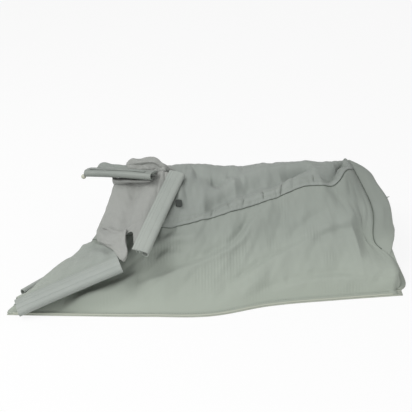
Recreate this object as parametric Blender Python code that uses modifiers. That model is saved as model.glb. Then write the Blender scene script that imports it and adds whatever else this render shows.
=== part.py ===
"""A cloth grass catcher bag for a walk-behind lawn mower, off its wire frame and slumped on the ground.

The body is sewn from five cloth panels. Its mouth has four cloth flaps, and each ends in a plastic channel
that snaps over a wire of the mower's frame. Metres, +Z up. The mouth is towards -X, the closed rear end
towards +X, and the near side panel faces -Y.
"""

import math

import bmesh
import bpy
import numpy as np
from mathutils import Matrix, Vector

# The slumped bag: the length and depth of its base, and the height of its rear corner.
BAG_LENGTH = 0.650
BAG_DEPTH = 0.390
BAG_HEIGHT = 0.168

# Cloth: the open mesh of the sides and rear, the plain cloth of the top and flaps, and the base panel.
MESH_CLOTH = 0.0012
PLAIN_CLOTH = 0.0010
BASE_CLOTH = 0.0014

# Sewn seams: how far one cloth laps the next, the hem and lip that show at the foot, and the space between
# two cloths.
SEAM_LAP = 0.008
FOOT_HEM = 0.007
BASE_LIP = 0.002
CLOTH_CLEARANCE = 0.0005
CORNER_CLEARANCE = 0.0009

# The rear panel bulges above and below a pinch, which lies at this share of its height. Above it the bulge
# rises within a short share of that height and then falls off as a power, and so does the bulge at the foot.
REAR_BULGE = 0.056
REAR_FOOT_BULGE = 0.016
REAR_PINCH = 0.003
REAR_PINCH_AT = 0.47
REAR_BULGE_RISE = 0.11
REAR_BULGE_FALL = 0.90
REAR_FOOT_FALL = 1.5
REAR_FULLNESS = 6

# Plastic channel section: a plate, a round hook along one edge for the frame's wire, and two grip ribs.
CHANNEL_WIDTH = 0.028
CHANNEL_WALL = 0.0014
FRAME_WIRE = 0.0090
WIRE_CLEARANCE = 0.0002
HOOK_WRAP = 245.0
HOOK_STEPS = 14
RIB_HEIGHT = 0.0045
RIB_SPACING = 0.0035
CLOTH_LEAD = 0.003

# Channel lengths.
NEAR_CHANNEL_LENGTH = 0.176
TOP_CHANNEL_LENGTH = 0.180
FAR_CHANNEL_LENGTH = 0.126
BASE_CHANNEL_LENGTH = 0.150

# Flaps: the radius of the fold at the mouth, and how far each stops short of its channel's ends.
FLAP_FOLD = 0.0030
FLAP_INSET = 0.004
BASE_FLAP_DEPTH = 0.045

# Small plastic pieces.
CLIP_LENGTH = 0.010
CLIP_WIDTH = 0.009
CLIP_HEIGHT = 0.004
BEAD_DIAMETER = 0.0075
BEAD_CLEARANCE = 0.0003

# Cells of the cloth's grid: along the bag, up each side, over the top, and along and down each flap.
LONG_CELLS = 42
SIDE_CELLS = 13
TOP_CELLS = 12
FLAP_CELLS = 16
FLAP_ROWS = 8

# Guide curves that the bag's skin is lofted through, each from the mouth to the rear. A point is given as
# shares of the bag's length, depth and height.
NEAR_FOOT = ((-0.486, -0.451, 0), (-0.315, -0.459, 0), (-0.146, -0.464, 0), (0.008, -0.456, 0),
             (0.154, -0.379, 0), (0.331, -0.333, 0), (0.486, -0.300, 0))
NEAR_WAIST = ((-0.388, -0.287, 0.190), (-0.108, -0.297, 0.250), (0.037, -0.267, 0.286),
              (0.163, -0.205, 0.345), (0.330, -0.185, 0.380), (0.484, -0.215, 0.300))
NEAR_SEAM = ((-0.289, -0.136, 0.387), (-0.171, -0.151, 0.488), (-0.062, -0.144, 0.571),
             (0.069, -0.087, 0.655), (0.180, -0.038, 0.744), (0.254, -0.010, 0.845), (0.343, 0.012, 0.862),
             (0.360, 0.068, 0.904), (0.392, 0.135, 0.888))
CROWN = ((-0.238, 0.054, 0.774), (-0.146, 0.128, 0.833), (-0.031, 0.159, 0.851), (0.077, 0.156, 0.833),
         (0.185, 0.164, 0.870), (0.300, 0.158, 0.885), (0.383, 0.215, 0.780))
FAR_SEAM = ((-0.231, 0.169, 0.583), (-0.108, 0.295, 0.524), (0.092, 0.321, 0.506), (0.246, 0.321, 0.583),
            (0.404, 0.300, 0.650))
FAR_WAIST = ((-0.208, 0.346, 0.327), (0.000, 0.462, 0.327), (0.231, 0.474, 0.345), (0.446, 0.385, 0.393))
FAR_FOOT = ((-0.182, 0.451, 0), (0.000, 0.526, 0), (0.231, 0.533, 0), (0.469, 0.462, 0))
GUIDES = (NEAR_FOOT, NEAR_WAIST, NEAR_SEAM, CROWN, FAR_SEAM, FAR_WAIST, FAR_FOOT)

# Places round the bag are counted in guide curves.
NEAR_FOOT_AT = 0
NEAR_SEAM_AT = 2
FAR_SEAM_AT = 4
FAR_FOOT_AT = 6

# Folds in the slack cloth. Each is a path of places (along, round), its half width, and its height, which is
# negative for a valley.
FOLDS = (
    (((0.30, 0.66), (0.46, 1.12), (0.54, 1.34), (0.61, 1.70)), 0.014, 0.008),
    (((0.60, 0.60), (0.72, 0.98), (0.83, 1.16), (0.94, 1.30)), 0.014, 0.009),
    (((0.84, 1.02), (0.90, 1.10), (0.95, 1.08)), 0.014, -0.008),
    (((0.66, 0.14), (0.74, 0.26), (0.82, 0.34), (0.88, 0.30)), 0.015, 0.005),
    (((0.25, 1.72), (0.37, 1.65)), 0.014, 0.006),
    (((0.24, 1.55), (0.35, 1.42)), 0.014, -0.006),
    (((0.82, 2.60), (0.87, 2.26), (0.90, 2.00)), 0.014, -0.008),
    (((0.36, 2.50), (0.44, 2.43), (0.72, 2.43)), 0.018, -0.006),
)

# Folds are measured on a flat map of the skin, where each guide curve lies this far from the next. They
# fade out towards the foot over this part of the way to the first guide curve.
GUIDE_SPACING = 0.065
FOOT_FADE = 0.4

# The near rear edge is tucked in above the rear panel's pinch: its path, half width and depth along the bag.
REAR_TUCK = (((0.955, 1.24), (1.00, 1.19)), 0.012, 0.018)

# Channels: the middle of the plate's cloth edge as shares of the bag, then the heading of the channel in the
# ground plane, its rise and its roll in degrees.
NEAR_CHANNEL = ((-0.342, -0.408, 0.304), 13.7, 19.0, 25.8)
TOP_CHANNEL = ((-0.139, -0.154, 0.738), 71.1, 20.0, 4.0)
FAR_CHANNEL = ((-0.219, 0.068, 0.912), -19.9, 6.4, -15.0)
BASE_CHANNEL = ((-0.364, -0.227, 0.000), 52.0, 0.0, 180.0)
CHANNELS = {
    "near_channel": (NEAR_CHANNEL, NEAR_CHANNEL_LENGTH),
    "top_channel": (TOP_CHANNEL, TOP_CHANNEL_LENGTH),
    "far_channel": (FAR_CHANNEL, FAR_CHANNEL_LENGTH),
    "base_channel": (BASE_CHANNEL, BASE_CHANNEL_LENGTH),
}

# The clip's place on the skin (along, round).
CLIP_AT = (0.305, 2.17)

# Stretches of the mouth's edge that the flaps are sewn to, from one place round the bag to another.
NEAR_FLAP_MOUTH = (0.15, 1.72)
TOP_FLAP_MOUTH = (2.12, 2.98)
FAR_FLAP_MOUTH = (5.55, 3.35)

# How each flap drapes: how slack it hangs, and how steeply it lifts as it leaves the mouth.
NEAR_FLAP_DRAPE = (0.8, 0.6)
TOP_FLAP_DRAPE = (0.8, 0.3)
FAR_FLAP_DRAPE = (1.1, 1.4)

CURVE_SAMPLES = 240
EPSILON = 1e-9


def clear_scene():
    """Remove every object, mesh and curve."""
    for thing in list(bpy.data.objects):
        bpy.data.objects.remove(thing, do_unlink=True)
    for mesh in list(bpy.data.meshes):
        bpy.data.meshes.remove(mesh)
    for curve in list(bpy.data.curves):
        bpy.data.curves.remove(curve)


def material(name, colour, roughness):
    """One Principled material."""
    made = bpy.data.materials.new(name)
    made.use_nodes = True
    shader = made.node_tree.nodes["Principled BSDF"]
    shader.inputs["Base Color"].default_value = (*colour, 1.0)
    shader.inputs["Roughness"].default_value = roughness
    shader.inputs["Metallic"].default_value = 0.0
    made.diffuse_color = (*colour, 1.0)
    return made


def sized(points):
    """Shares of the bag in metres, with the ground points lifted onto the base panel."""
    seat = BASE_CLOTH + CLOTH_CLEARANCE + MESH_CLOTH / 2
    size = np.array((BAG_LENGTH, BAG_DEPTH, BAG_HEIGHT))
    return np.array(points, dtype=float) * size + np.array((0.0, 0.0, seat))


def unit(vectors):
    """Vectors scaled to length one, along the last axis."""
    return vectors / np.maximum(np.linalg.norm(vectors, axis=-1, keepdims=True), EPSILON)


def hermite(start, start_pull, end, end_pull, t):
    """A cubic from start to end that leaves and arrives along the two pulls."""
    return ((2 * t**3 - 3 * t**2 + 1) * start + (t**3 - 2 * t**2 + t) * start_pull
            + (3 * t**2 - 2 * t**3) * end + (t**3 - t**2) * end_pull)


def smooth_through(points, fractions):
    """Points on a smooth curve through the given points, at fractions of its length."""
    chords = np.linalg.norm(np.diff(points, axis=0), axis=1)
    knots = np.concatenate(((0.0,), np.cumsum(chords)))
    slopes = np.gradient(points, knots, axis=0)
    dense = np.linspace(0.0, knots[-1], CURVE_SAMPLES)
    piece = np.clip(np.searchsorted(knots, dense, side="right") - 1, 0, len(knots) - 2)
    span = chords[piece][:, None]
    local = (dense - knots[piece])[:, None] / span
    curve = hermite(points[piece], slopes[piece] * span, points[piece + 1], slopes[piece + 1] * span, local)
    run = np.concatenate(((0.0,), np.cumsum(np.linalg.norm(np.diff(curve, axis=0), axis=1))))
    wanted = np.asarray(fractions) * run[-1]
    return np.stack([np.interp(wanted, run, curve[:, axis]) for axis in range(3)], axis=-1)


def long_places():
    """Fractions along the bag, with a narrow cell at each end for what is sewn on there."""
    lap = SEAM_LAP / BAG_LENGTH
    inner = np.linspace(lap, 1.0 - lap, LONG_CELLS - 1)
    return np.concatenate(((0.0,), inner, (1.0,)))


def round_places():
    """Places round the bag, with a narrow row beside each long seam for the lap."""
    side_span = NEAR_SEAM_AT - NEAR_FOOT_AT
    lap = side_span * SEAM_LAP / (BAG_DEPTH / 2)
    near = np.linspace(NEAR_FOOT_AT, NEAR_SEAM_AT - lap, SIDE_CELLS)
    top = np.linspace(NEAR_SEAM_AT, FAR_SEAM_AT, TOP_CELLS + 1)
    far = np.linspace(FAR_SEAM_AT + lap, FAR_FOOT_AT, SIDE_CELLS)
    return np.concatenate((near, top, far))


def lofted(along, rounds):
    """Points of the bag's skin before its folds: smooth rings through the guide curves."""
    guides = np.stack([smooth_through(sized(guide), along) for guide in GUIDES])
    slopes = np.gradient(guides, axis=0)
    piece = np.clip(np.floor(rounds).astype(int), 0, len(GUIDES) - 2)
    local = (rounds - piece)[:, None, None]
    return hermite(guides[piece], slopes[piece], guides[piece + 1], slopes[piece + 1], local)


def grid_normals(points):
    """Unit normals of a grid of points that face out of the bag."""
    around = np.gradient(points, axis=0)
    along = np.gradient(points, axis=1)
    return unit(np.cross(along, around))


def fold_field(along, rounds, path, half_width):
    """How near each place of the grid is to a fold's path: one on it, falling to none beyond its width."""
    metric = np.array((BAG_LENGTH, GUIDE_SPACING))
    spots = np.stack(np.meshgrid(along, rounds), axis=-1) * metric
    nearest = np.full(spots.shape[:2], np.inf)
    for start, end in zip(path[:-1], path[1:]):
        start = np.array(start) * metric
        run = np.array(end) * metric - start
        share = np.clip(((spots - start) @ run) / (run @ run), 0.0, 1.0)
        gap = np.linalg.norm(spots - (start + share[..., None] * run), axis=-1)
        nearest = np.minimum(nearest, gap)
    return np.exp(-(nearest / half_width) ** 2)


def skin(along, rounds):
    """The bag's skin with its folds, and its outward normals, as grids of (round, along)."""
    points = lofted(along, rounds)
    normals = grid_normals(points)
    rise = np.zeros(points.shape[:2])
    for path, half_width, height in FOLDS:
        rise += height * fold_field(along, rounds, path, half_width)
    foot = np.clip(np.minimum(rounds - NEAR_FOOT_AT, FAR_FOOT_AT - rounds) / FOOT_FADE, 0.0, 1.0)
    points = points + normals * (rise * (foot * foot * (3 - 2 * foot))[:, None])[..., None]
    path, half_width, depth = REAR_TUCK
    points[..., 0] -= depth * fold_field(along, rounds, path, half_width)
    return points, grid_normals(points)


def grid_faces(rows, columns, skip=()):
    """Quads of a grid of points listed row by row, without the skipped cells."""
    faces = []
    for row in range(rows - 1):
        for column in range(columns - 1):
            if (row, column) not in skip:
                corner = row * columns + column
                faces.append((corner, corner + 1, corner + columns + 1, corner + columns))
    return faces


def cloth_object(name, points, thickness, finish, collection, skip=()):
    """A cloth panel: the middle surface as a grid of points, made solid by a Solidify modifier."""
    rows, columns = points.shape[:2]
    mesh = bpy.data.meshes.new(name)
    mesh.from_pydata(points.reshape(-1, 3).tolist(), [], grid_faces(rows, columns, skip))
    work = bmesh.new()
    work.from_mesh(mesh)
    bmesh.ops.delete(work, geom=[vert for vert in work.verts if not vert.link_faces], context="VERTS")
    work.to_mesh(mesh)
    work.free()
    mesh.materials.append(finish)
    panel = bpy.data.objects.new(name, mesh)
    collection.objects.link(panel)
    solid = panel.modifiers.new("Cloth thickness", "SOLIDIFY")
    solid.thickness = thickness
    solid.offset = 0.0
    solid.use_even_offset = True
    solid.use_quality_normals = True
    return panel


def foot_outward(foot_line, side):
    """Unit vectors in the ground plane that point out of the bag along a foot line."""
    run = np.gradient(foot_line, axis=0)
    outward = np.stack((run[:, 1], -run[:, 0], np.zeros(len(run))), axis=-1)
    return unit(outward) * side


def side_panel(name, points, rows, foot_row, outward, finish, collection):
    """A side panel with a hem that lies flat outwards along the ground."""
    hem = points[foot_row] + outward * FOOT_HEM
    panel = points[rows]
    if rows[0] == foot_row:
        panel = np.concatenate((hem[None], panel))
    else:
        panel = np.concatenate((panel, hem[None]))
    return cloth_object(name, panel, MESH_CLOTH, finish, collection)


def rear_patch(ring):
    """The rear panel's middle surface inside a ring of points that runs from near foot to far foot."""
    near = ring[:SIDE_CELLS + 1]
    top = ring[SIDE_CELLS:SIDE_CELLS + TOP_CELLS + 1]
    far = ring[SIDE_CELLS + TOP_CELLS:][::-1]
    up = np.linspace(0.0, 1.0, SIDE_CELLS + 1)[:, None, None]
    across = np.linspace(0.0, 1.0, TOP_CELLS + 1)[None, :, None]
    base = near[0] + across * (far[0] - near[0])
    sides = (1 - across) * near[:, None] + across * far[:, None]
    ends = (1 - up) * base + up * top[None]
    corners = ((1 - up) * ((1 - across) * near[0] + across * far[0])
               + up * ((1 - across) * top[0] + across * top[-1]))
    patch = sides + ends - corners
    high = np.clip((up - REAR_PINCH_AT) / (1 - REAR_PINCH_AT), 0.0, 1.0)
    low = np.clip(1 - up / REAR_PINCH_AT, 0.0, 1.0)
    swell = REAR_PINCH + REAR_FOOT_BULGE * low ** REAR_FOOT_FALL
    swell = swell + REAR_BULGE * (1 - high) ** REAR_BULGE_FALL * (1 - np.exp(-high / REAR_BULGE_RISE))
    fullness = 1 - (2 * across - 1) ** REAR_FULLNESS
    return patch + (swell * fullness) * np.array((1.0, 0.0, 0.0))


def rear_panel(points, normals, finish, collection):
    """The rear panel, with its sewn flange turned forward inside the body's panels."""
    inset = MESH_CLOTH + CORNER_CLEARANCE
    inner = points - normals * inset
    inner[0, :, 2] = points[0, :, 2]
    inner[-1, :, 2] = points[-1, :, 2]
    top_rows = slice(SIDE_CELLS + 1, SIDE_CELLS + TOP_CELLS)
    inner[top_rows] += normals[top_rows] * (inset - CORNER_CLEARANCE)
    ring = inner[:, -1]
    flange = inner[:, -2]
    patch = rear_patch(ring)
    near_flange = flange[:SIDE_CELLS + 1]
    top_flange = flange[SIDE_CELLS:SIDE_CELLS + TOP_CELLS + 1]
    far_flange = flange[SIDE_CELLS + TOP_CELLS:][::-1]
    body = np.concatenate((near_flange[:, None], patch, far_flange[:, None]), axis=1)
    lid = np.concatenate((near_flange[-1:], top_flange, far_flange[-1:]))
    hem = np.concatenate((near_flange[:1], patch[0] + np.array((FOOT_HEM, 0.0, 0.0)), far_flange[:1]))
    grid = np.concatenate((hem[None], body, lid[None]))
    rows, columns = grid.shape[:2]
    corners = ((0, 0), (0, columns - 2), (rows - 2, 0), (rows - 2, columns - 2))
    return cloth_object("rear_panel", grid, MESH_CLOTH, finish, collection, corners), hem[1:-1]


def flat_plate(name, outline, thickness, finish, collection):
    """A flat sheet on the ground from its outline, as a filled and extruded curve."""
    curve = bpy.data.curves.new(name, "CURVE")
    curve.dimensions = "2D"
    curve.fill_mode = "BOTH"
    curve.extrude = thickness / 2
    spline = curve.splines.new("POLY")
    spline.points.add(len(outline) - 1)
    for point, place in zip(spline.points, outline):
        point.co = (place[0], place[1], 0.0, 1.0)
    spline.use_cyclic_u = True
    curve.materials.append(finish)
    plate = bpy.data.objects.new(name, curve)
    plate.location = (0.0, 0.0, thickness / 2)
    collection.objects.link(plate)
    return plate


def arc(centre, radius, start, end, steps):
    """Points of an arc in a plane, between two angles in degrees."""
    angles = np.radians(np.linspace(start, end, steps + 1))
    return [(centre[0] + radius * math.cos(angle), centre[1] + radius * math.sin(angle)) for angle in angles]


def rib_places():
    """How far each grip rib lies across the plate, the one next to the hook first."""
    outer = FRAME_WIRE / 2 + WIRE_CLEARANCE + CHANNEL_WALL
    first = CHANNEL_WIDTH - 2 * outer - RIB_SPACING
    return first, first - RIB_SPACING - CHANNEL_WALL


def channel_section():
    """The outline of the channel: y is across it from the cloth edge, and z is up out of its plate."""
    bore = FRAME_WIRE / 2 + WIRE_CLEARANCE
    outer = bore + CHANNEL_WALL
    centre = (CHANNEL_WIDTH - outer, -outer)
    lip = 90.0 - HOOK_WRAP
    outline = [(0.0, 0.0)]
    outline += arc(centre, outer, 90.0, lip, HOOK_STEPS)
    outline += arc(centre, bore, lip, 90.0, HOOK_STEPS)
    for place in rib_places():
        outline += [(place + CHANNEL_WALL, -CHANNEL_WALL), (place + CHANNEL_WALL, -CHANNEL_WALL - RIB_HEIGHT),
                    (place, -CHANNEL_WALL - RIB_HEIGHT), (place, -CHANNEL_WALL)]
    outline.append((0.0, -CHANNEL_WALL))
    return outline


def channel_frame(spot, heading, rise, roll):
    """The place of a channel and its directions: across to the hook, up out of the plate, and along."""
    turn, lift, tilt = math.radians(heading), math.radians(rise), math.radians(roll)
    along = np.array((math.cos(turn) * math.cos(lift), math.sin(turn) * math.cos(lift), math.sin(lift)))
    level = np.array((math.sin(turn), -math.cos(turn), 0.0))
    upright = np.cross(level, along)
    across = level * math.cos(tilt) - upright * math.sin(tilt)
    up = upright * math.cos(tilt) + level * math.sin(tilt)
    return sized((spot,))[0], across, up, along


def channel(name, place, length, finish, collection):
    """A plastic channel: its section as a filled curve, extruded along its length."""
    middle, across, up, along = place
    curve = bpy.data.curves.new(name, "CURVE")
    curve.dimensions = "2D"
    curve.fill_mode = "BOTH"
    curve.extrude = length / 2
    outline = channel_section()
    spline = curve.splines.new("POLY")
    spline.points.add(len(outline) - 1)
    for point, corner in zip(spline.points, outline):
        point.co = (corner[0], corner[1], 0.0, 1.0)
    spline.use_cyclic_u = True
    curve.materials.append(finish)
    strip = bpy.data.objects.new(name, curve)
    turn = Matrix((across, up, -along)).transposed().to_4x4()
    strip.matrix_world = Matrix.Translation(Vector(middle)) @ turn
    collection.objects.link(strip)
    return strip


def mouth_rows(points, normals, places, rounds, lift):
    """Rows of cloth round the mouth's edge: lapped inside, over the fold, and back outside."""
    def at(grid, column):
        return np.stack([np.interp(places, rounds, grid[:, column, axis]) for axis in range(3)], axis=-1)
    lap, edge, normal = at(points, 1), at(points, 0), unit(at(normals, 0))
    forward = unit(edge - lap)
    inside = MESH_CLOTH / 2 + CORNER_CLEARANCE + PLAIN_CLOTH / 2
    edge = edge + normal * lift
    lap = lap + normal * lift
    return (lap - normal * inside, edge - normal * inside + forward * PLAIN_CLOTH, edge + forward * FLAP_FOLD,
            edge + normal * FLAP_FOLD + forward * PLAIN_CLOTH), forward, normal


def gripped_rows(place, length):
    """The two rows of a flap's cloth at its channel: just before the plate's edge, and at the grip ribs."""
    middle, across, up, along = place
    reach = np.linspace(-0.5, 0.5, FLAP_CELLS + 1)[:, None] * (length - 2 * FLAP_INSET) * along
    under = CHANNEL_WALL + CLOTH_CLEARANCE + PLAIN_CLOTH / 2
    edge = middle + reach - up * under - across * CLOTH_LEAD
    return edge, edge + across * (CLOTH_LEAD + rib_places()[1] - CLOTH_CLEARANCE)


def flap(name, skin_grid, mouth, lift, place, length, drape, finish, collection):
    """A flap: sewn inside the mouth's edge, folded back over it, and gripped under its channel's plate."""
    points, normals, rounds = skin_grid
    across = place[1]
    slack, loft = drape
    places = np.linspace(*mouth, FLAP_CELLS + 1)
    rows, forward, normal = mouth_rows(points, normals, places, rounds, lift)
    edge, gripped = gripped_rows(place, length)
    size = np.linalg.norm(edge - rows[-1], axis=-1, keepdims=True) * slack
    leave = (normal * loft - forward) * size
    run = [hermite(rows[-1], leave, edge, across * size, t) for t in np.linspace(0.0, 1.0, FLAP_ROWS + 1)[1:]]
    return cloth_object(name, np.stack((*rows, *run, gripped)), PLAIN_CLOTH, finish, collection)


def base_flap(place, length, finish, collection):
    """The flap along the base: sewn flat on the base panel, and gripped over its channel's plate."""
    edge, gripped = gripped_rows(place, length)
    root = edge + np.array((BASE_FLAP_DEPTH, 0.0, 0.0))
    root[:, 2] = BASE_CLOTH + CLOTH_CLEARANCE + PLAIN_CLOTH / 2
    sewn = root - np.array((BASE_FLAP_DEPTH / 2, 0.0, 0.0))
    return cloth_object("base_flap", np.stack((root, sewn, edge, gripped)), PLAIN_CLOTH, finish, collection)


def base_outline(points, near_out, far_out, rear_hem):
    """The base panel's outline in the ground plane, a lip's width outside the side and rear hems."""
    reach = FOOT_HEM + BASE_LIP
    near = points[0] + near_out * reach
    far = (points[-1] + far_out * reach)[::-1]
    rear = rear_hem + np.array((BASE_LIP, 0.0, 0.0))
    return np.concatenate((near, rear, far))[:, :2]


def moulded_clip(skin_grid, along, lift, finish, collection):
    """The small clip that lies on the top panel: a block with rounded edges."""
    points, normals, rounds = skin_grid
    column = int(np.argmin(np.abs(along - CLIP_AT[0])))
    row = int(np.argmin(np.abs(rounds - CLIP_AT[1])))
    normal = normals[row, column]
    forward = unit(points[row, column + 1] - points[row, column - 1])
    sideways = unit(np.cross(normal, forward))
    rest = points[row, column] + normal * (lift + PLAIN_CLOTH / 2 + CLOTH_CLEARANCE + CLIP_HEIGHT / 2)
    mesh = bpy.data.meshes.new("frame_clip")
    work = bmesh.new()
    bmesh.ops.create_cube(work, size=1.0, matrix=Matrix.Diagonal((CLIP_LENGTH, CLIP_WIDTH, CLIP_HEIGHT, 1.0)))
    work.to_mesh(mesh)
    work.free()
    mesh.materials.append(finish)
    block = bpy.data.objects.new("frame_clip", mesh)
    turn = Matrix((forward, sideways, np.cross(forward, sideways))).transposed().to_4x4()
    block.matrix_world = Matrix.Translation(Vector(rest)) @ turn
    collection.objects.link(block)
    bevel = block.modifiers.new("Moulded edges", "BEVEL")
    bevel.width = CLIP_HEIGHT / 5
    bevel.segments = 2
    return block


def end_bead(place, finish, collection):
    """The ball against the open end of the far channel's hook."""
    middle, across, up, along = place
    outer = FRAME_WIRE / 2 + WIRE_CLEARANCE + CHANNEL_WALL
    hook = middle + across * (CHANNEL_WIDTH - outer) - up * outer
    centre = hook - along * (FAR_CHANNEL_LENGTH / 2 + BEAD_DIAMETER / 2 + BEAD_CLEARANCE) - up * outer
    mesh = bpy.data.meshes.new("end_bead")
    work = bmesh.new()
    bmesh.ops.create_uvsphere(work, u_segments=16, v_segments=10, radius=BEAD_DIAMETER / 2)
    work.to_mesh(mesh)
    work.free()
    mesh.materials.append(finish)
    mesh.shade_smooth()
    bead = bpy.data.objects.new("end_bead", mesh)
    bead.location = centre
    collection.objects.link(bead)
    return bead


def centre_on_base(collection):
    """Move the whole bag so that the middle of its base box is the origin."""
    view = bpy.context.view_layer
    view.update()
    graph = bpy.context.evaluated_depsgraph_get()
    corners = []
    for thing in collection.objects:
        if thing.type == "EMPTY":
            continue
        shape = thing.evaluated_get(graph).to_mesh()
        corners += [thing.matrix_world @ vert.co for vert in shape.vertices]
        thing.evaluated_get(graph).to_mesh_clear()
    corners = np.array(corners)
    low, high = corners.min(axis=0), corners.max(axis=0)
    stand = bpy.data.objects.new("grass_bag", None)
    collection.objects.link(stand)
    for thing in collection.objects:
        if thing is not stand:
            thing.parent = stand
    stand.location = (-(low[0] + high[0]) / 2, -(low[1] + high[1]) / 2, -low[2])
    view.update()


def build():
    """Make every piece of the bag."""
    clear_scene()
    collection = bpy.data.collections.new("grass_catcher_bag")
    bpy.context.scene.collection.children.link(collection)
    mesh_cloth = material("mesh_cloth", (0.335, 0.367, 0.330), 0.85)
    plain_cloth = material("plain_cloth", (0.365, 0.386, 0.352), 0.70)
    channel_plastic = material("channel_plastic", (0.375, 0.400, 0.365), 0.45)
    black_plastic = material("black_plastic", (0.012, 0.014, 0.013), 0.40)

    along, rounds = long_places(), round_places()
    points, normals = skin(along, rounds)
    near_out = foot_outward(points[0], 1.0)
    far_out = foot_outward(points[-1], -1.0)
    near_rows = np.arange(0, SIDE_CELLS + 1)
    top_rows = np.arange(SIDE_CELLS - 1, SIDE_CELLS + TOP_CELLS + 2)
    far_rows = np.arange(SIDE_CELLS + TOP_CELLS, len(rounds))
    side_panel("near_side_panel", points, near_rows, 0, near_out, mesh_cloth, collection)
    side_panel("far_side_panel", points, far_rows, len(rounds) - 1, far_out, mesh_cloth, collection)
    lap_lift = (MESH_CLOTH + PLAIN_CLOTH) / 2 + CLOTH_CLEARANCE
    top = points[top_rows] + normals[top_rows] * lap_lift
    cloth_object("top_panel", top, PLAIN_CLOTH, plain_cloth, collection)
    _, rear_hem = rear_panel(points, normals, mesh_cloth, collection)
    outline = base_outline(points, near_out, far_out, rear_hem)
    flat_plate("base_panel", outline, BASE_CLOTH, plain_cloth, collection)

    skin_grid = (points, normals, rounds)
    frames = {}
    for name, (spec, length) in CHANNELS.items():
        frames[name] = channel_frame(*spec)
        channel(name, frames[name], length, channel_plastic, collection)
    flap("near_flap", skin_grid, NEAR_FLAP_MOUTH, 0.0, frames["near_channel"], NEAR_CHANNEL_LENGTH,
         NEAR_FLAP_DRAPE, plain_cloth, collection)
    flap("top_flap", skin_grid, TOP_FLAP_MOUTH, lap_lift, frames["top_channel"], TOP_CHANNEL_LENGTH,
         TOP_FLAP_DRAPE, plain_cloth, collection)
    flap("far_flap", skin_grid, FAR_FLAP_MOUTH, 0.0, frames["far_channel"], FAR_CHANNEL_LENGTH,
         FAR_FLAP_DRAPE, plain_cloth, collection)
    base_flap(frames["base_channel"], BASE_CHANNEL_LENGTH, plain_cloth, collection)
    moulded_clip(skin_grid, along, lap_lift, black_plastic, collection)
    end_bead(frames["far_channel"], channel_plastic, collection)
    centre_on_base(collection)


build()
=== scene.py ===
"""The looks of a cloth grass catcher bag for a lawn mower, slumped on the ground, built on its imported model.

Metres, +Z up. The mouth is towards -X, the closed rear end towards +X, and the near side panel faces -Y.
"""

import math

import bpy
import numpy as np
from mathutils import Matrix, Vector


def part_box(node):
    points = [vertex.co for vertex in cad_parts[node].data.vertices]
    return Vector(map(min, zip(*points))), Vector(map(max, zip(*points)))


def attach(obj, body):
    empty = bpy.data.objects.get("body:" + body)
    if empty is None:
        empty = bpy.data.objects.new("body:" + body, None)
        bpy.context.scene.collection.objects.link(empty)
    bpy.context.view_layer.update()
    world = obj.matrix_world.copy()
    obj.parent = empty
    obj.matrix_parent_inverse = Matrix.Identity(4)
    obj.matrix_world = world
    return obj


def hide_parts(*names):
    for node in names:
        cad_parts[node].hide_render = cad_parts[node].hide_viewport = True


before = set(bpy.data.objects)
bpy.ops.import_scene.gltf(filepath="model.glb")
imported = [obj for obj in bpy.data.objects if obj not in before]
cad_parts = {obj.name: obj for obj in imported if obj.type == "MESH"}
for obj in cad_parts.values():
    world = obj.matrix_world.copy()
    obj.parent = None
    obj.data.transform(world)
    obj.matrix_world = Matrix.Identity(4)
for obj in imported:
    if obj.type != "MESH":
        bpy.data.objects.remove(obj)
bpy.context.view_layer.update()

# The body's skin. The real body is five cloth panels sewn along their edges, empty and slumped over to one
# side, so every panel here is a stretch of one slack surface, and neighbours stay in step along their
# seams.
BAG_SIZE = np.array((0.650, 0.390, 0.168))
BAG_CENTRE = np.array((-0.01221, -0.00974, 0.0))
FOOT_HEIGHT = 0.0025
SEAM_LAP = 0.008
GUIDE_SPACING = 0.065
SKIN_GUIDES = (
    ((-0.486, -0.451, 0), (-0.315, -0.459, 0), (-0.146, -0.464, 0), (0.008, -0.456, 0), (0.154, -0.379, 0),
     (0.331, -0.333, 0), (0.486, -0.300, 0)),
    ((-0.388, -0.287, 0.190), (-0.108, -0.297, 0.250), (0.037, -0.267, 0.286), (0.163, -0.205, 0.345),
     (0.330, -0.185, 0.380), (0.484, -0.215, 0.300)),
    ((-0.289, -0.136, 0.387), (-0.171, -0.151, 0.488), (-0.062, -0.144, 0.571), (0.069, -0.087, 0.655),
     (0.180, -0.038, 0.744), (0.254, -0.010, 0.845), (0.343, 0.012, 0.862), (0.360, 0.068, 0.904),
     (0.392, 0.135, 0.888)),
    ((-0.238, 0.054, 0.774), (-0.146, 0.128, 0.833), (-0.031, 0.159, 0.851), (0.077, 0.156, 0.833),
     (0.185, 0.164, 0.870), (0.300, 0.158, 0.885), (0.383, 0.215, 0.780)),
    ((-0.231, 0.169, 0.583), (-0.108, 0.295, 0.524), (0.092, 0.321, 0.506), (0.246, 0.321, 0.583),
     (0.404, 0.300, 0.650)),
    ((-0.208, 0.346, 0.327), (0.000, 0.462, 0.327), (0.231, 0.474, 0.345), (0.446, 0.385, 0.393)),
    ((-0.182, 0.451, 0), (0.000, 0.526, 0), (0.231, 0.533, 0), (0.469, 0.462, 0)),
)
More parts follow.
